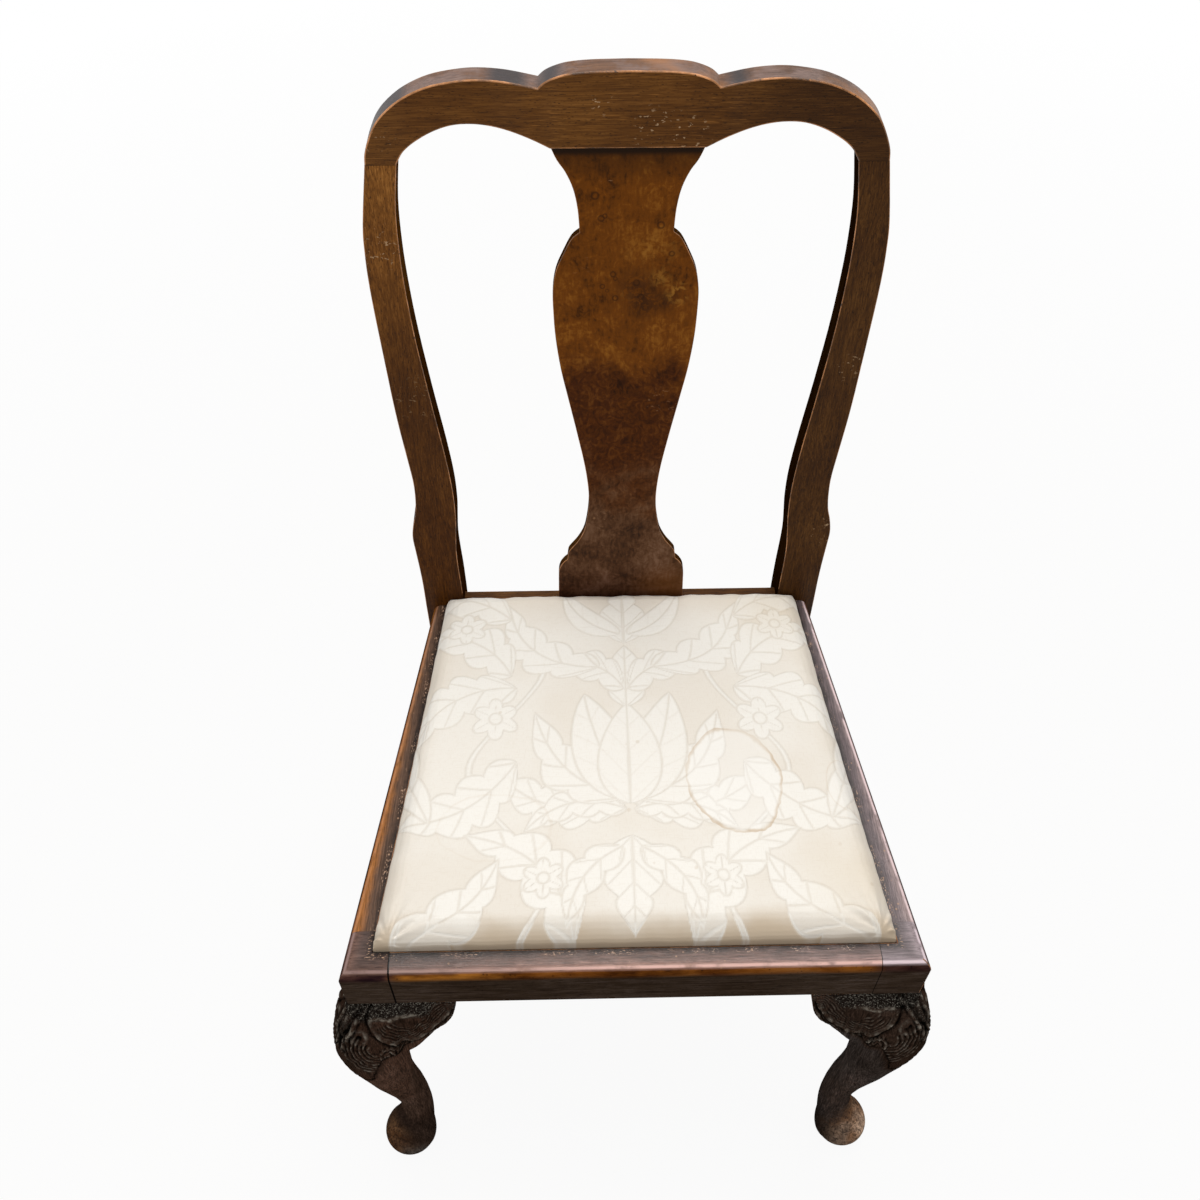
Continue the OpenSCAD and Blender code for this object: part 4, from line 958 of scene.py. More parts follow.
def relief_at(along, below):
    """The carving's height in mm, and its ridge, hollow, stipple and plain shares, at each place."""
    field_gap, field_side, _ = measure(through(FIELD_END), along, below)
    inside = np.where(field_side > 0, field_gap, -field_gap)
    field = ease(inside, 0, 1.6) * ease(below, 0, 1.0)
    rib_gap, rib_side, rib_share = measure(through(KNEE_RIB), along, below)
    second_gap, _, second_share = measure(through(OUTER_RIB), along, below)
    beyond_rib = (rib_side > 0) & (below < 75)
    leaf_gap, leaf_side, leaf_share = measure(through(LEAF_RIM), along, below)
    above_leaf = leaf_side < 0
    ear_gap = measure(through(EAR_RIM), along, below)[0]
    du, dv = along - SCROLL_EYE[0], (below - SCROLL_EYE[1]) * SCROLL_SQUASH
    ring = np.hypot(du, dv)
    turn = np.arctan2(dv, du)
    uneven = 0.72 + 0.28 * np.sin(turn * 5 + ring * 0.45) * np.sin(turn * 2.3 + 1.1)

    height = np.full(along.shape, -0.9)
    ridge = np.zeros(along.shape)
    hollow = np.zeros(along.shape)

    # The scroll: a few broad arcs below its eye, each lower than the last, and a small whorl inside them
    spiral = ring + 0.55 * SCROLL_PITCH * turn / np.pi
    arcs = ease(ring, SCROLL_INNER, SCROLL_INNER + 2) * ease(ring, SCROLL_OUTER + 2, SCROLL_OUTER)
    arcs = arcs * np.maximum(ease(turn, -0.5, 0.0), ease(-turn, 2.2, 2.8)) * (1 - ease(leaf_gap, 5, 2))
    arcs = np.where(above_leaf & (along > 14), 0, arcs)
    wave = np.cos(2 * np.pi * (spiral - SCROLL_INNER) / SCROLL_PITCH)
    height += arcs * uneven * (0.3 + 1.25 * wave)
    ridge += arcs * uneven * ease(wave, 0.35, 1.0) * 0.6
    hollow += arcs * ease(wave, -0.2, -0.9)
    whorl = np.hypot(along - WHORL[0], below - WHORL[1])
    whorl_turn = np.arctan2(below - WHORL[1], along - WHORL[0])
    in_whorl = ease(whorl, 10, 8) * np.where(above_leaf & (along > 14), 0, 1)
    curlique = np.cos(2 * np.pi * (whorl / 4.6 - whorl_turn / (2 * np.pi)))
    height += in_whorl * (0.5 + 0.9 * curlique)
    ridge = ridge * (1 - in_whorl) + in_whorl * ease(curlique, 0.3, 1.0) * 0.6
    hollow = hollow * (1 - in_whorl) + in_whorl * ease(curlique, -0.2, -0.9)

    # The curl above the scroll, with its deep eye
    curl = np.hypot(along - CURL_EYE[0], below - CURL_EYE[1])
    height += 1.1 * hump(curl - 7.5, 1.7) - 2.8 * hump(curl, 2.8)
    ridge += 0.5 * hump(curl - 7.5, 1.5)
    hollow += hump(curl, 3.2)

    # The large leaf: a raised rim, a deep shadow under it, and fine furrows that follow it on to the ear
    furrow = np.cos(2 * np.pi * (leaf_gap + 0.5 * np.sin(along * 0.5)) / 2.7)
    leaf = np.where(above_leaf, ease(leaf_gap, 1.0, 3.0) * ease(leaf_gap, 19, 14), 0) * ease(leaf_share, 0.05, 0.2)
    height += leaf * (0.3 + 0.50 * furrow)
    hollow += leaf * ease(furrow, -0.2, -0.9) * 0.75
    ridge += leaf * ease(furrow, 0.4, 1.0) * 0.35
    rim = hump(leaf_gap, 1.6) * ease(leaf_share, 0.0, 0.06)
    height += 2.1 * rim
    ridge += 0.8 * rim * (0.6 + 0.4 * np.sin(leaf_share * 40))
    shadow = np.where(~above_leaf, hump(leaf_gap - 4.0, 1.7), 0)
    height -= 1.5 * shadow
    hollow += shadow

    # The ear below the leaf: furrows along its own edge
    on_ear = np.where(~above_leaf & (along > 30), 1.0, 0.0) * ease(along, 30, 40)
    strip = np.cos(2 * np.pi * (ear_gap + 0.6 * np.sin(along * 0.35)) / 2.9)
    height += on_ear * 0.5 * strip
    hollow += on_ear * ease(strip, -0.2, -0.9) * 0.8
    ridge += on_ear * ease(strip, 0.4, 1.0) * 0.45

    # The sunk band under the rail, and the field beyond the rib, are pricked with a punch
    band = ease(below, BAND_DEPTH + 3, BAND_DEPTH - 3) * (1 - 0.85 * leaf) * (1 - rim)
    stipple = np.maximum(band, np.where(beyond_rib, 0.45, 0) * ease(below, 70, 30))
    height -= 0.7 * band
    shelf_line = below - BAND_DEPTH - 1.6 * np.sin(along * 0.21)
    shelf = hump(shelf_line, 1.4) * ease(along, 14, 22) * ease(along, 62, 50)
    height += 1.3 * shelf
    ridge += 1.2 * shelf
    stipple = stipple * (1 - 0.7 * shelf)

    # The long thin ribs down the knee's outer part
    rib = hump(rib_gap, 1.15) * ease(rib_share, 0.0, 0.05) + 0.8 * hump(second_gap, 0.9) * ease(second_share, 0.0, 0.05)
    height += 2.0 * rib - 0.9 * hump(rib_gap - 2.6, 1.1)
    ridge += 0.9 * rib
    hollow += 0.8 * hump(rib_gap - 2.8, 1.1) + 0.6 * hump(second_gap - 2.2, 0.9)

    edge = hump(inside - 0.6, 0.9) * ease(below, 30, 50)
    hollow = np.maximum(hollow * field, edge)
    return (np.clip(height, -3.6, 2.4) * field, np.clip(ridge, 0, 1) * field, np.clip(hollow, 0, 1),
            np.clip(stipple, 0, 1) * field, ease(inside, 1, -8))


def face_places(points, side):
    """How far along the knee's face from the seat frame's corner, and how far below the rail, in mm."""
    from_side = (SEAT_CORNER - side * points[:, 0]) / MM
    from_front = (points[:, 1] - FRONT) / MM
    return np.maximum(from_side, from_front), (RAIL_BOTTOM - points[:, 2]) / MM


def finer(mesh, low, cuts=1):
    """Splits each face where all its corners are over a height: into four, or into sixteen with three cuts."""
    shape = shape_of(mesh)
    edges = [e for e in shape.edges if min(v.co.z for v in e.verts) > low]
    bmesh.ops.subdivide_edges(shape, edges=edges, cuts=cuts, use_grid_fill=True, smooth=0)
    mesh_of(shape, mesh)


def carve(mesh, side, depth):
    """Cuts the knee's carving into the faces of a mesh that look forwards or sideways."""
    points = places(mesh)
    out = places(mesh, "normal")
    along, below = face_places(points, side)
    sway_u, sway_v, broken, grit = np.array([
        (noise.noise(Vector(p) * 95), noise.noise(Vector(p) * 95 + Vector((7, 3, 5))),
         noise.noise(Vector(p) * 240), noise.noise(Vector(p) * 640)) for p in points]).T
    height, ridge, hollow, stipple, plain = relief_at(along + 2.0 * sway_u + 0.5 * broken, below + 2.0 * sway_v)
    turned = ease(np.maximum(-out[:, 1], side * out[:, 0]), 0.12, 0.50)
    sideways = 1 - 0.55 * ease(side * out[:, 0], 0.55, 0.95)
    height = height * (0.80 + 0.9 * broken) * sideways
    ridge = np.clip(ridge * (0.75 + 1.5 * broken), 0, 1)
    hollow = np.clip(hollow * (0.90 + 0.7 * broken), 0, 1)
    pricks = grit * (0.50 * stipple + 0.14) * sideways
    rise = (height + pricks) * turned * depth * MM
    put_places(mesh, points + out * rise[:, None])
    store(mesh, ridge=ridge * turned, hollow=hollow * turned, stipple=stipple * turned, plain=plain)
    smooth_faces(mesh)


def knee_solid(side, sign):
    """One mesh of the leg below the rail and its two ears, which reach a little way into the leg."""
    leg = welded(NODES[f"{side}_front_leg"].data)
    slice_off(leg, (0, 0, RAIL_BOTTOM), (0, 0, 1), clear_outer=True)
    overlap = 3 * MM
    parts = [leg]
    for ear in ("front", "side"):
        part = welded(NODES[f"{side}_leg_{ear}_ear"].data)
        for point in part.verts:
            if ear == "front" and abs(abs(point.co.x) - BLOCK_IN) < 0.1 * MM:
                point.co.x += sign * overlap
            elif ear == "side" and abs(point.co.y - BLOCK_BACK) < 0.1 * MM:
                point.co.y -= overlap
        parts.append(part)
    joined = bmesh.new()
    for part in parts:
        draft = mesh_of(part, "knee_part")
        joined.from_mesh(draft)
        bpy.data.meshes.remove(draft)
    return mesh_of(joined, f"{side}_knee")


def drawn_waist(points, sign):
    """Draws the leg in under its ears, on its inner and back sides."""
    below = (RAIL_BOTTOM - points[:, 2]) / MM
    height = hump(below - 128, 27) * ease(below, 80, 108)
    inner = ease(sign * points[:, 0] - BLOCK_IN, 20 * MM, 1 * MM)
    behind = ease(BLOCK_BACK - points[:, 1], 20 * MM, 1 * MM)
    points[:, 0] += sign * 8.5 * MM * height * inner
    points[:, 1] -= 8.5 * MM * height * behind
    return points


def lowered_ears(points, sign, drop, reach):
    """Lets the ears' lower edge hang a little lower, up to a reach in mm from the leg."""
    inward = np.maximum(BLOCK_IN - sign * points[:, 0], points[:, 1] - BLOCK_BACK) / MM
    below = (RAIL_BOTTOM - points[:, 2]) / MM
    share = ease(inward, -14, -2) * ease(inward, reach, reach * 0.3) * ease(below, 8, 45)
    points[:, 2] -= drop * MM * share
    return points


def split_off(mesh, name, cuts):
    """A copy of what a mesh has on the far side of each cut, a point and a direction, closed along the cuts."""
    shape = shape_of(mesh)
    for point, direction in cuts:
        slice_off(shape, point, direction, clear_inner=True)
    part = mesh_of(shape, name)
    for skin in mesh.materials:
        part.materials.append(skin)
    smooth_faces(part)
    part.set_sharp_from_angle(angle=math.radians(75))
    return part


# The cushion

STAINS = (((0.097, -0.061), (0.044, 0.056), 0.80), ((0.204, -0.064), (0.025, 0.030), 0.25),
          ((-0.120, -0.105), (0.050, 0.034), 0.14))
COVER_POINTS = places(NODES["damask_cover"].data)
COVER_BACK = float(COVER_POINTS[COVER_POINTS[:, 1] > COVER_HIGH.y - 9 * MM][:, 0].max())
COVER_LEAN = (COVER_HIGH.x - COVER_BACK) / (COVER_HIGH.y - COVER_LOW.y)


def cover_half_width(y):
    """Half the cushion's width at a depth of the seat, which may be a number, an array or a node's value."""
    return COVER_HIGH.x - COVER_LEAN * (y - COVER_LOW.y)


def cushion_grid(settings, steps):
    """Rows of points of a closed form: a flat base, upright sides, a rolled edge and a low crown."""
    roll = settings.edge_roll
    wall_top = SEAT_TOP + 7 * MM
    crown_edge = COVER_HIGH.z - settings.crown
    half_y = (COVER_HIGH.y - COVER_LOW.y) / 2

    # From the outer edge in: share of the way to the middle, and height
    inset = (0, 0, 0, 0, 0.02, 0.10, 0.24, 0.44, 0.70, 1.0)
    climb = (0, 0.45, 0.85, 1.0, 1.12, 1.32, 1.52, 1.72, 1.90, 2.0)
    wall = wall_top - COVER_LOW.z
    over = crown_edge - wall_top
    edge_heights = [COVER_LOW.z + (c * wall if c <= 1 else wall + (c - 1) * over) for c in climb]
    inner = steps - 2 * len(inset)

    def profile(half):
        """Signed places across the seat, from one side to the other, with the edge height of each."""
        near = [(-(half - share * roll), height) for share, height in zip(inset, edge_heights)]
        flat = half - roll
        middle = [(-flat + 2 * flat * (k + 1) / (inner + 1), crown_edge) for k in range(inner)]
        return near + middle + [(-place, height) for place, height in reversed(near)]

    grid = []
    for v, height_v in profile(half_y):
        y = SEAT_MIDDLE + v
        half_x = cover_half_width(y)
        row = []
        for u, height_u in profile(half_x):
            low, high = sorted((height_u, height_v))
            lift = low + (min(high, crown_edge) - crown_edge) * 0.25
            dome = max(0.0, 1 - (u / half_x) ** 2) ** 0.75 * max(0.0, 1 - (v / half_y) ** 2) ** 0.75
            row.append((u, y, max(COVER_LOW.z, min(lift, low)) + settings.crown * dome * 0.999))
        grid.append(row)
    return grid


def cushion_shape(settings):
    """The cushion's closed mesh, with its base as one face."""
    grid = cushion_grid(settings, 104)
    rows, columns = len(grid), len(grid[0])
    faces = [(i * columns + j, i * columns + j + 1, (i + 1) * columns + j + 1, (i + 1) * columns + j)
             for i in range(rows - 1) for j in range(columns - 1)]
    rim = list(range(columns))
    rim += [i * columns + columns - 1 for i in range(1, rows)]
    rim += [(rows - 1) * columns + j for j in range(columns - 2, -1, -1)]
    rim += [i * columns for i in range(rows - 2, 0, -1)]
    return mesh_from("cushion", [p for row in grid for p in row], faces + [tuple(reversed(rim))])


def puff(mesh, reach):
    """Blows the cushion's cover out a little as cloth, held along its sides; no point moves farther than reach."""
    start = places(mesh)
    draft = placed("draft_cushion", mesh)
    held = draft.vertex_groups.new(name="held")
    held.add([index for index, point in enumerate(start) if point[2] < SEAT_TOP + 3 * MM], 1.0, "REPLACE")
    cloth = draft.modifiers.new("cloth", "CLOTH").settings
    cloth.vertex_group_mass = "held"
    cloth.use_pressure = True
    cloth.uniform_pressure_force = 4
    cloth.quality = 4
    cloth.tension_stiffness = 40
    cloth.bending_stiffness = 2
    cloth.effector_weights.gravity = 0
    for number in range(1, 17):
        bpy.context.scene.frame_set(number)
    shift = places(baked(draft)) - start
    bpy.context.scene.frame_set(1)
    bpy.data.objects.remove(draft)
    length = np.linalg.norm(shift, axis=1)
    return start + shift * (np.tanh(length / reach) * reach / np.maximum(length, 1e-9))[:, None]


def pull_folds(points):
    """Adds the slack of an old hand-pulled cover: fans of folds at the front corners and puckers along the edges."""
    x, y, z = points.T.copy()
    from_front = (y - COVER_LOW.y) / MM
    from_back = (COVER_HIGH.y - y) / MM
    from_side = (cover_half_width(y) - np.abs(x)) / MM
    lift = np.zeros(x.shape)
    rng = np.random.default_rng(11)
    for side in SIDES.values():
        cx, cy = side * (COVER_HIGH.x - 14 * MM), COVER_LOW.y + 2 * MM
        reach = np.hypot(x - cx, y - cy) / MM
        angle = np.arctan2(y - cy, side * (cx - x))
        fan = np.sin(angle * 9.0 + 0.6 * side) + 0.5 * np.sin(angle * 17.0 + 2.0)
        lift += 1.25 * fan * hump(reach - 16, 24) * ease(reach, 2, 10)
    for gap, run, seed in ((from_front, x, 0.0), (from_side, y, 2.1), (from_back, x, 4.2)):
        wave = sum(rng.uniform(0.5, 1.0) * np.sin(2 * np.pi * run / (length * MM) + seed + rng.uniform(0, 6))
                   for length in (23, 37, 58, 91))
        lift += 0.52 * wave * hump(gap, 17)
    lift -= 2.2 * hump(np.hypot((x - 0.02) / 0.11, (y + 0.03) / 0.10), 1)
    lift += 0.35 * np.sin(x / MM / 41 + 0.8) * np.sin(y / MM / 53 + 1.4)
    rise = z / MM - SEAT_TOP / MM
    z = z + lift * ease(rise, 1, 9) * MM
    drawn = 0.9 * MM * ease(z / MM - SEAT_TOP / MM, -6, 2) * (from_side < 8)
    in_middle = np.cos(np.clip(y - SEAT_MIDDLE, -0.19, 0.19) / 0.19 * np.pi / 2)
    return np.stack([x - np.sign(x) * drawn * in_middle, y, np.minimum(z, COVER_HIGH.z + 1.5 * MM)], axis=1)


def sheet_under(name, box_low, box_high, sag, steps):
    """A thin sheet tacked round its edge that hangs a little in the middle, and its flat size."""
    front, back = box_low.y, box_high.y
    points = places(NODES["dust_cover"].data)
    back_half = points[points[:, 1] > back - 3 * MM][:, 0].max()
    front_half = points[points[:, 1] < front + 3 * MM][:, 0].max()
    verts = []
    for v in (i / steps for i in range(steps + 1)):
        half = front_half + (back_half - front_half) * v
        for u in (-1 + 2 * j / steps for j in range(steps + 1)):
            dip = sag * (1 - u ** 2) * 4 * v * (1 - v) + 0.25 * MM * math.sin(9 * u) * math.sin(14 * v)
            verts.append((u * half, front + (back - front) * v, box_low.z + 0.1 * MM - max(0, dip)))
    wide = steps + 1
    firsts = [i * wide + j for i in range(steps) for j in range(steps)]
    mesh = mesh_from(name, verts, [(a, a + wide, a + wide + 1, a + 1) for a in firsts])
    smooth_faces(mesh)
    return mesh, (front_half + back_half, back - front)


# Operators: one for each group of pieces

class DressSeatFrame(bpy.types.Operator):
    """Dress the seat rails and the square blocks over the front legs"""
    bl_idname = "chair.dress_seat_frame"
    bl_label = "Seat Frame"

    def execute(self, context):
        wood = context.scene.chair_wood
        worn = worn_arris("rail_arris", wood, 0.8)
        grime = joint_grime("joint_grime")
        # Fibres, gap from the cushion, colours of the land and its outer edge, strength of the painted shine, specular
        # The pale pink and violet tones of the front rail, the right block and the right rail are in part a painted
        # reflection; the left rail's orange edge is worn wood
        kinds = {
            "front": ("X", from_front_land, (0.125, 0.071, 0.055), (0.30, 0.175, 0.140), 0.88, WAXED),
            "left_block": ("X", from_block_land, (0.090, 0.057, 0.048), (0.150, 0.086, 0.068), 0.45, DULL),
            "right_block": ("X", from_block_land, (0.145, 0.112, 0.118), (0.30, 0.240, 0.255), 0.88, WAXED),
            "left_rail": ("Y", from_side_land, (0.110, 0.062, 0.040), (0.36, 0.140, 0.038), 0.20, DULL),
            "right_rail": ("Y", from_side_land, (0.135, 0.100, 0.104), (0.34, 0.255, 0.250), 0.88, WAXED),
        }
        skins = {"rear": (walnut("rear_rail_walnut", "X", wood, 0.8), worn, grime)}
        for name, (run, inner, land, outer, shine, specular) in kinds.items():
            above, upright = (seat_rail_walnut(f"{name}_{part}", run, wood, inner, land, outer, gloss, shine,
                                               graded=name == "front")
                              for part, gloss in (("walnut", specular), ("face_walnut", 0.0)))
            skins[name] = (above, worn, grime, upright)
        pieces = [(f"{place}_seat_rail", f"{place}_rail", place, None) for place in ("front", "rear")]
        pieces += [(f"{side}_seat_rail", f"{side}_rail", f"{side}_rail", None) for side in SIDES]
        pieces += [(f"{side}_front_leg", f"{side}_leg_block", f"{side}_block", RAIL_BOTTOM) for side in SIDES]
        for node, name, kind, above in pieces:
            mesh = worn_copy(node, skins[kind], wood.edge_wear * 0.6, wood.seam_width, above)
            keep_flats(hang(mesh, name, CHAIR, [node]))
        return {"FINISHED"}


class CarveFrontLegs(bpy.types.Operator):
    """Carve the knees and ears of the two cabriole front legs"""
    bl_idname = "chair.carve_front_legs"
    bl_label = "Front Legs"

    def execute(self, context):
        cut = context.scene.chair_carving
        skin = cut.skin * 1.0
        foot_x, foot_y = 0.240, FRONT + 0.005
        # Patches on each foot. Left: a warm rubbed side, a dark middle, and a grey painted sheen low down. Right: a
        # bright rubbed front with painted light on it, a painted highlight on the neck, and a dark left side
        wear = {"left": [((-foot_x - 0.016, foot_y - 0.008, 0.030), 0.017, (0.27, 0.140, 0.066)),
                         ((-foot_x + 0.004, foot_y + 0.008, 0.052), 0.015, (0.013, 0.009, 0.0075)),
                         ((-foot_x + 0.005, foot_y - 0.020, 0.020), 0.012, (0.150, 0.134, 0.122))],
                "right": [((foot_x + 0.017, foot_y - 0.006, 0.028), 0.028, (1.0, 0.68, 0.48)),
                          ((foot_x - 0.001, foot_y + 0.011, 0.052), 0.014, (0.42, 0.22, 0.10)),
                          ((foot_x - 0.025, foot_y - 0.012, 0.028), 0.017, (0.014, 0.0095, 0.0075))]}
        plain = {"left": (1.85, 1.85, 1.90), "right": (1.30, 1.70, 2.15)}
        lower_ear = {"left": (5.0, 36), "right": (7.5, 120)}
        for side, sign in SIDES.items():
            finish = leg_walnut(f"{side}_leg_walnut", wear[side], plain[side])
            leg = even_skin(knee_solid(side, sign), skin, cut.softening, cut.leg_softening, CARVED_LOW)
            finer(leg, CARVED_LOW)
            carve(leg, sign, cut.depth)
            leg.materials.clear()
            leg.materials.append(finish)
            points = lowered_ears(drawn_waist(places(leg), sign), sign, *lower_ear[side])
            points[:, 2] = np.clip(points[:, 2], 0, RAIL_BOTTOM)
            put_places(leg, points)
            at_block, at_back = (sign * BLOCK_IN, 0, 0), (0, BLOCK_BACK, 0)
            ahead, back = (0, -1, 0), (0, 1, 0)
            for part, slot, node, cuts in (
                    ("knee_and_foot", "walnut", "front_leg", ((at_block, (sign, 0, 0)), (at_back, ahead))),
                    ("front_ear_carved", "carved_walnut", "leg_front_ear",
                     ((at_block, (-sign, 0, 0)), (at_back, ahead))),
                    ("side_ear_carved", "carved_walnut", "leg_side_ear", ((at_back, back),))):
                hang(split_off(leg, f"{side}_{part}", cuts), f"{side}_{part}", CHAIR, [f"{side}_{node}"])
        return {"FINISHED"}


class DressBack(bpy.types.Operator):
    """Dress the rear posts, the crest rail and the splat with its veneer"""
    bl_idname = "chair.dress_back"
    bl_label = "Back"

    def execute(self, context):
        wood = context.scene.chair_wood
        worn = worn_arris("back_arris", wood)
        grime = joint_grime("back_joint_grime")
        knocks = [((0.016, 0.229, 0.953), 0.014), ((0.046, 0.229, 0.948), 0.016), ((-0.02, 0.23, 0.972), 0.008),
                  ((0.030, 0.229, 0.958), 0.010)]
        dark_top_patches = ((-0.205, -0.170), (-0.106, -0.078), (-0.068, -0.052), (0.076, 0.090))
        # The crest rail darkens towards its right end as painted shade; what faces up gets dust with a painted sheen,
        # and a few stretches are darkened almost to black
        crest = walnut("crest_walnut", "X", wood, 1.22, 0.7, knocks, [("x", 0.03, 0.15, 0.48)],
                       (0.172, 0.116, 0.099), dark_top_patches)
        knocks = [((-0.188, 0.204, 0.711), 0.022), ((-0.205, 0.219, 0.856), 0.018)]
        # The left post is painted much lighter than the right one, as painted light from the left, and darker towards
        # the seat, as painted shade; what faces up gets dust with a painted sheen
        fades = [("z", 0.88, 0.70, (0.44, 0.40, 0.34)), ("z", 0.66, 0.56, (0.82, 0.76, 0.66))]
        left = walnut("left_post_walnut", "Z", wood, 1.85, 0.85, knocks, fades, (0.16, 0.095, 0.07))
        left_side = walnut("left_post_side_walnut", "Z", wood, 1.85, 0.85, (), fades, inner=(1, 0.40), specular=0.0)
        knocks = [((0.205, 0.187, 0.552), 0.015)]
        # The right post's darker walnut is painted shade; what faces up gets dust with a painted sheen
        right = walnut("right_post_walnut", "Z", wood, 0.66, 0.85, knocks, dust_and_sheen=(0.13, 0.08, 0.065))
        right_side = walnut("right_post_side_walnut", "Z", wood, 0.72, 0.85, inner=(-1, 0.20), specular=0.0)
        core = walnut("splat_core_walnut", "Z", wood, 0.5, specular=0.0)
        burr = burr_veneer("burr_veneer", wood)
        pieces = (("crest_rail", "crest", (crest, worn, grime), "walnut", 1.0),
                  ("left_rear_post", "left_post", (left, worn, grime, left_side), "walnut", 0.9),
                  ("right_rear_post", "right_post", (right, worn, grime, right_side), "walnut", 0.9),
                  ("back_splat", "splat_core", (core, worn, grime), "walnut", 0.45),
                  ("splat_veneer", "splat_face", (burr, worn, grime), "burr_veneer", 0.4))
        for node, name, skins, slot, share in pieces:
            mesh = worn_copy(node, skins, wood.edge_wear * share, wood.seam_width * 0.4,
                             fourth=lambda normal: abs(normal.x) > 0.6)
            keep_flats(hang(mesh, name, CHAIR, [node]))
        return {"FINISHED"}


class UpholsterSeat(bpy.types.Operator):
    """Make the damask cushion and the dust cover under it"""
    bl_idname = "chair.upholster_seat"
    bl_label = "Seat Cushion"

    def execute(self, context):
        seat = context.scene.chair_seat
        mesh = cushion_shape(seat)
        put_places(mesh, puff(mesh.copy(), 3 * MM))
        finer(mesh, SEAT_TOP - 8 * MM, cuts=3)
        put_places(mesh, pull_folds(places(mesh)))
        x, y = places(mesh).T[:2]
        figure, lines = figure_at(x, y)
        store(mesh, figure=figure, lines=lines)
        mesh.materials.append(damask("ivory_damask", seat))
        smooth_faces(mesh)
        cushion = hang(mesh, "cushion", SEAT, ["damask_cover", "seat_stuffing"])
        low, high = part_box("dust_cover")
        sheet, flat = sheet_under("dust_sheet", low, high, 0.4 * MM, 40)
        sheet.materials.append(woven("dust_cloth", (0.030, 0.030, 0.033), (0.012, 0.012, 0.013), 1.1 * MM, 0.1 * MM))
        cloth = hang(sheet, "dust_sheet", SEAT, ["dust_cover"])
        return {"FINISHED"}


class FinishInside(bpy.types.Operator):
    """Give the hidden pieces of the frame and of the seat their own finishes"""
    bl_idname = "chair.finish_inside"
    bl_label = "Inner Pieces"

    def execute(self, context):
        for finish, names in (
                (beech("beech_across", "X"),
                 "front_left_corner_block front_right_corner_block rear_left_corner_block rear_right_corner_block "
                 "front_rail_dowels rear_rail_dowels seat_front_bar seat_back_bar"),
                (beech("beech_deep", "Y"), "left_rail_dowels right_rail_dowels seat_left_bar seat_right_bar"),
                (beech("beech_upright", "Z"), "crest_dowels seat_corner_pegs"),
                (steel("screw_steel", (0.42, 0.41, 0.39), (0.17, 0.09, 0.05)), "corner_block_screws"),
                (steel("blued_tacks", (0.09, 0.10, 0.13), (0.12, 0.06, 0.035)), "webbing_tacks cover_tacks"),
                (woven("jute_webbing", (0.48, 0.38, 0.24), (0.24, 0.17, 0.09), 2.4 * MM, 0.5 * MM),
                 "webbing_front_to_back webbing_side_to_side"),
                (woven("hessian", (0.45, 0.34, 0.19), (0.20, 0.14, 0.07), 1.8 * MM, 0.4 * MM), "seat_hessian")):
            for name in names.split():
                skins = NODES[name].data.materials
                skins.clear()
                skins.append(finish)
        return {"FINISHED"}


CAMERA_PLACE = Vector((-0.04045, FRONT - 0.39558, 1.3821))
CAMERA_YAW, CAMERA_PITCH, CAMERA_ROLL = (math.radians(angle) for angle in (1.31, 49.02, 0.17))
WHITE = (1, 1, 1, 1)


def camera_matrix():
    """Stands where the photographer stood: above the seat's front, looking down and back."""
    yaw, pitch, roll = CAMERA_YAW, CAMERA_PITCH, CAMERA_ROLL
    ahead = Vector((math.sin(yaw) * math.cos(pitch), math.cos(yaw) * math.cos(pitch), -math.sin(pitch)))
    right = Vector((math.cos(yaw), -math.sin(yaw), 0))
    up = right.cross(ahead)
    rolled_right = math.cos(roll) * right + math.sin(roll) * up
    rolled_up = math.cos(roll) * up - math.sin(roll) * right
    matrix = Matrix((rolled_right, rolled_up, -ahead)).transposed().to_4x4()
    matrix.translation = CAMERA_PLACE
    return matrix


def soft_lamp(name, place, target, size, power, colour):
    light = bpy.data.lights.new(name, "AREA")
    light.shape = "RECTANGLE"
    light.size, light.size_y = size
    light.energy, light.color = power, colour
    lamp = placed(name, light)
    lamp.location = place
    lamp.rotation_euler = (Vector(target) - Vector(place)).to_track_quat("-Z", "Y").to_euler()


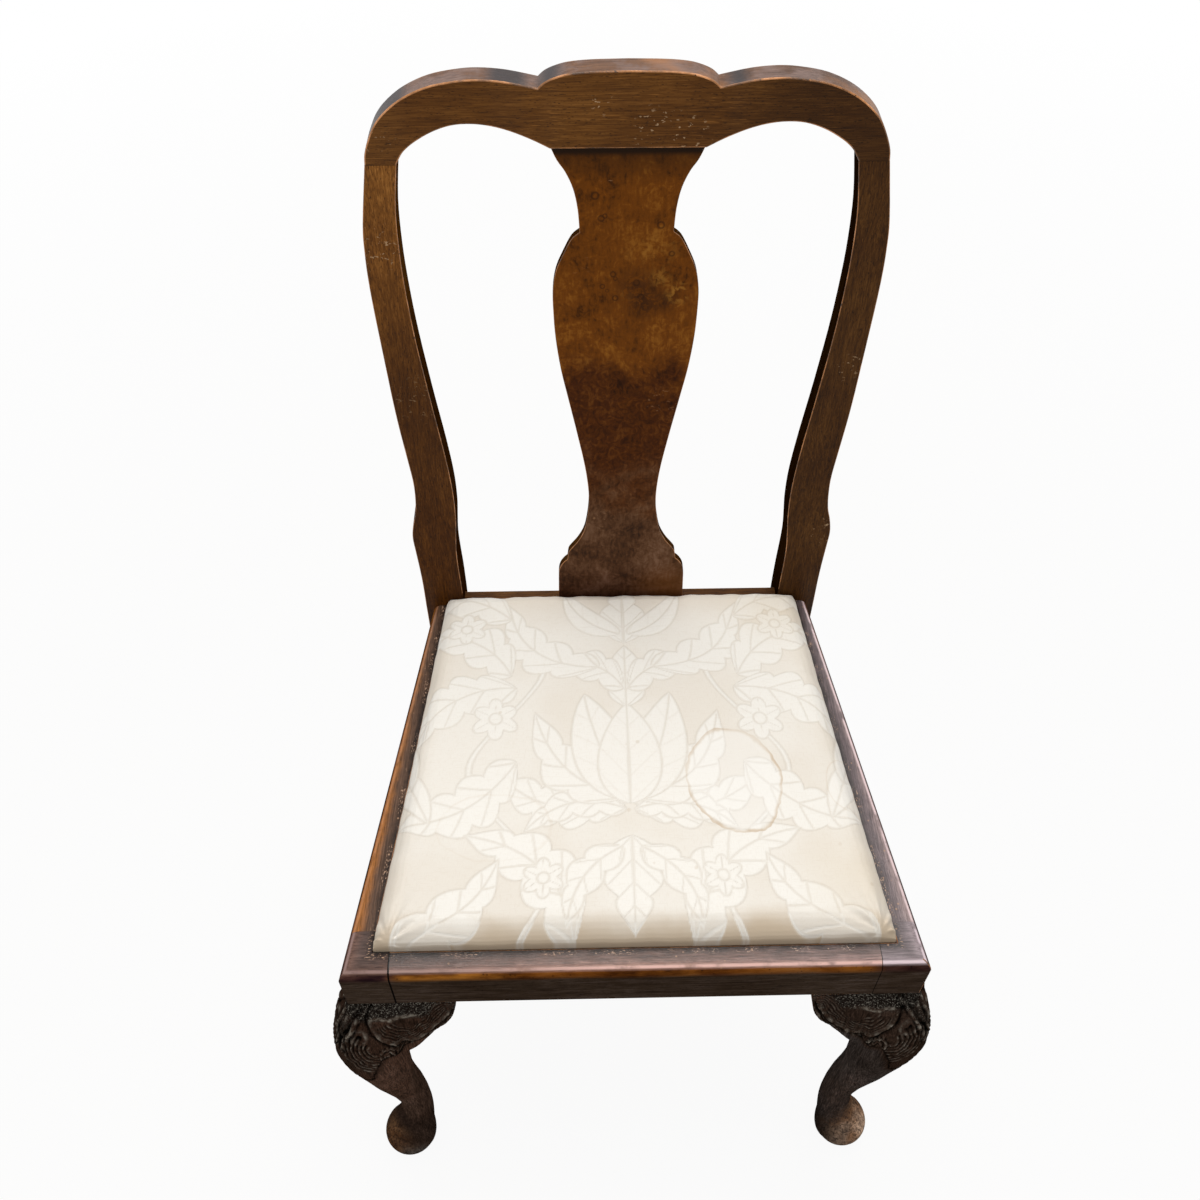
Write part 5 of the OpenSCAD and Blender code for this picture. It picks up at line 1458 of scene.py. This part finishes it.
class SetStudio(bpy.types.Operator):
    """Set the pale floor, the soft lamps, the white surroundings and the camera"""
    bl_idname = "chair.set_studio"
    bl_label = "Studio"

    def execute(self, context):
        scene = context.scene
        studio = scene.chair_studio
        scene.world = bpy.data.worlds.new("studio_sky")
        sky = Tree(scene.world)
        lit = sky.add("Background", {"Color": (1, 0.985, 0.96, 1), "Strength": studio.sky})
        shown = sky.add("Background", {"Color": WHITE, "Strength": 1.0})
        sky.add("OutputWorld", {"Surface": sky.add("MixShader", {0: sky.seen_directly(), 1: lit, 2: shown})})

        # The floor shows nearly white, whiter farther out, and still takes the chair's shadow
        reach = 6.0
        floor = placed("floor", mesh_from(
            "floor", [(-reach, -reach, 0), (reach, -reach, 0), (reach, reach, 0), (-reach, reach, 0)], [(0, 1, 2, 3)]))
        f = Finish("pale_floor")
        matt = f.add("BsdfPrincipled",
                     {"Base Color": (0.68, 0.67, 0.66, 1), "Roughness": 0.9, "Specular IOR Level": 0.1})
        glow = f.add("Emission", {"Color": WHITE})
        away = f.vector("LENGTH", f.place, out="Value")
        level = f.add("MapRange", {"Value": away, "From Min": 0.9, "From Max": 3.0, "To Min": 0.93, "To Max": 1.0})
        seen = f.add("MixShader", {0: f.seen_directly() * level, 1: matt, 2: glow})
        f.add("OutputMaterial", {"Surface": seen})
        floor.data.materials.append(f.material)

        soft_lamp("overhead_lamp", (0.10, 0.35, 2.7), (0.0, 0.0, 0.45), (1.9, 1.7), studio.overhead, (1, 0.98, 0.96))
        soft_lamp("window_lamp", (-1.2, -2.3, 2.1), (0.0, 0.1, 0.6), (2.2, 1.0), studio.window, (1, 0.96, 0.91))

        lens = bpy.data.cameras.new("camera")
        lens.lens, lens.sensor_width = studio.lens, 36
        scene.camera = placed("camera", lens)
        scene.camera.matrix_world = camera_matrix()
        scene.view_settings.view_transform = "Standard"
        return {"FINISHED"}


class ChairPanel(bpy.types.Panel):
    """Lists the chair's steps in the order in which they are made"""
    bl_idname = "VIEW3D_PT_balloon_back_chair"
    bl_label = "Balloon Back Chair"
    bl_space_type = "VIEW_3D"
    bl_region_type = "UI"
    bl_category = "Chair"

    def draw(self, context):
        for step in STEPS:
            self.layout.operator(step.bl_idname)
        for name in SETTINGS:
            group = getattr(context.scene, name)
            box = self.layout.box()
            for key in group.bl_rna.properties.keys():
                if key not in ("rna_type", "name"):
                    box.prop(group, key)


STEPS = (DressSeatFrame, CarveFrontLegs, DressBack, UpholsterSeat, FinishInside, SetStudio)
SETTINGS = {"chair_wood": WoodSettings, "chair_carving": CarvingSettings, "chair_seat": SeatSettings,
            "chair_studio": StudioSettings}


def register():
    for kind in (*SETTINGS.values(), *STEPS, ChairPanel):
        bpy.utils.register_class(kind)
    for name, kind in SETTINGS.items():
        setattr(bpy.types.Scene, name, PointerProperty(type=kind))


def unregister():
    for name in SETTINGS:
        delattr(bpy.types.Scene, name)
    for kind in reversed((*SETTINGS.values(), *STEPS, ChairPanel)):
        bpy.utils.unregister_class(kind)


def main():
    register()
    bpy.ops.chair.dress_seat_frame()
    bpy.ops.chair.carve_front_legs()
    bpy.ops.chair.dress_back()
    bpy.ops.chair.upholster_seat()
    bpy.ops.chair.finish_inside()
    bpy.ops.chair.set_studio()


if __name__ == "__main__":
    main()
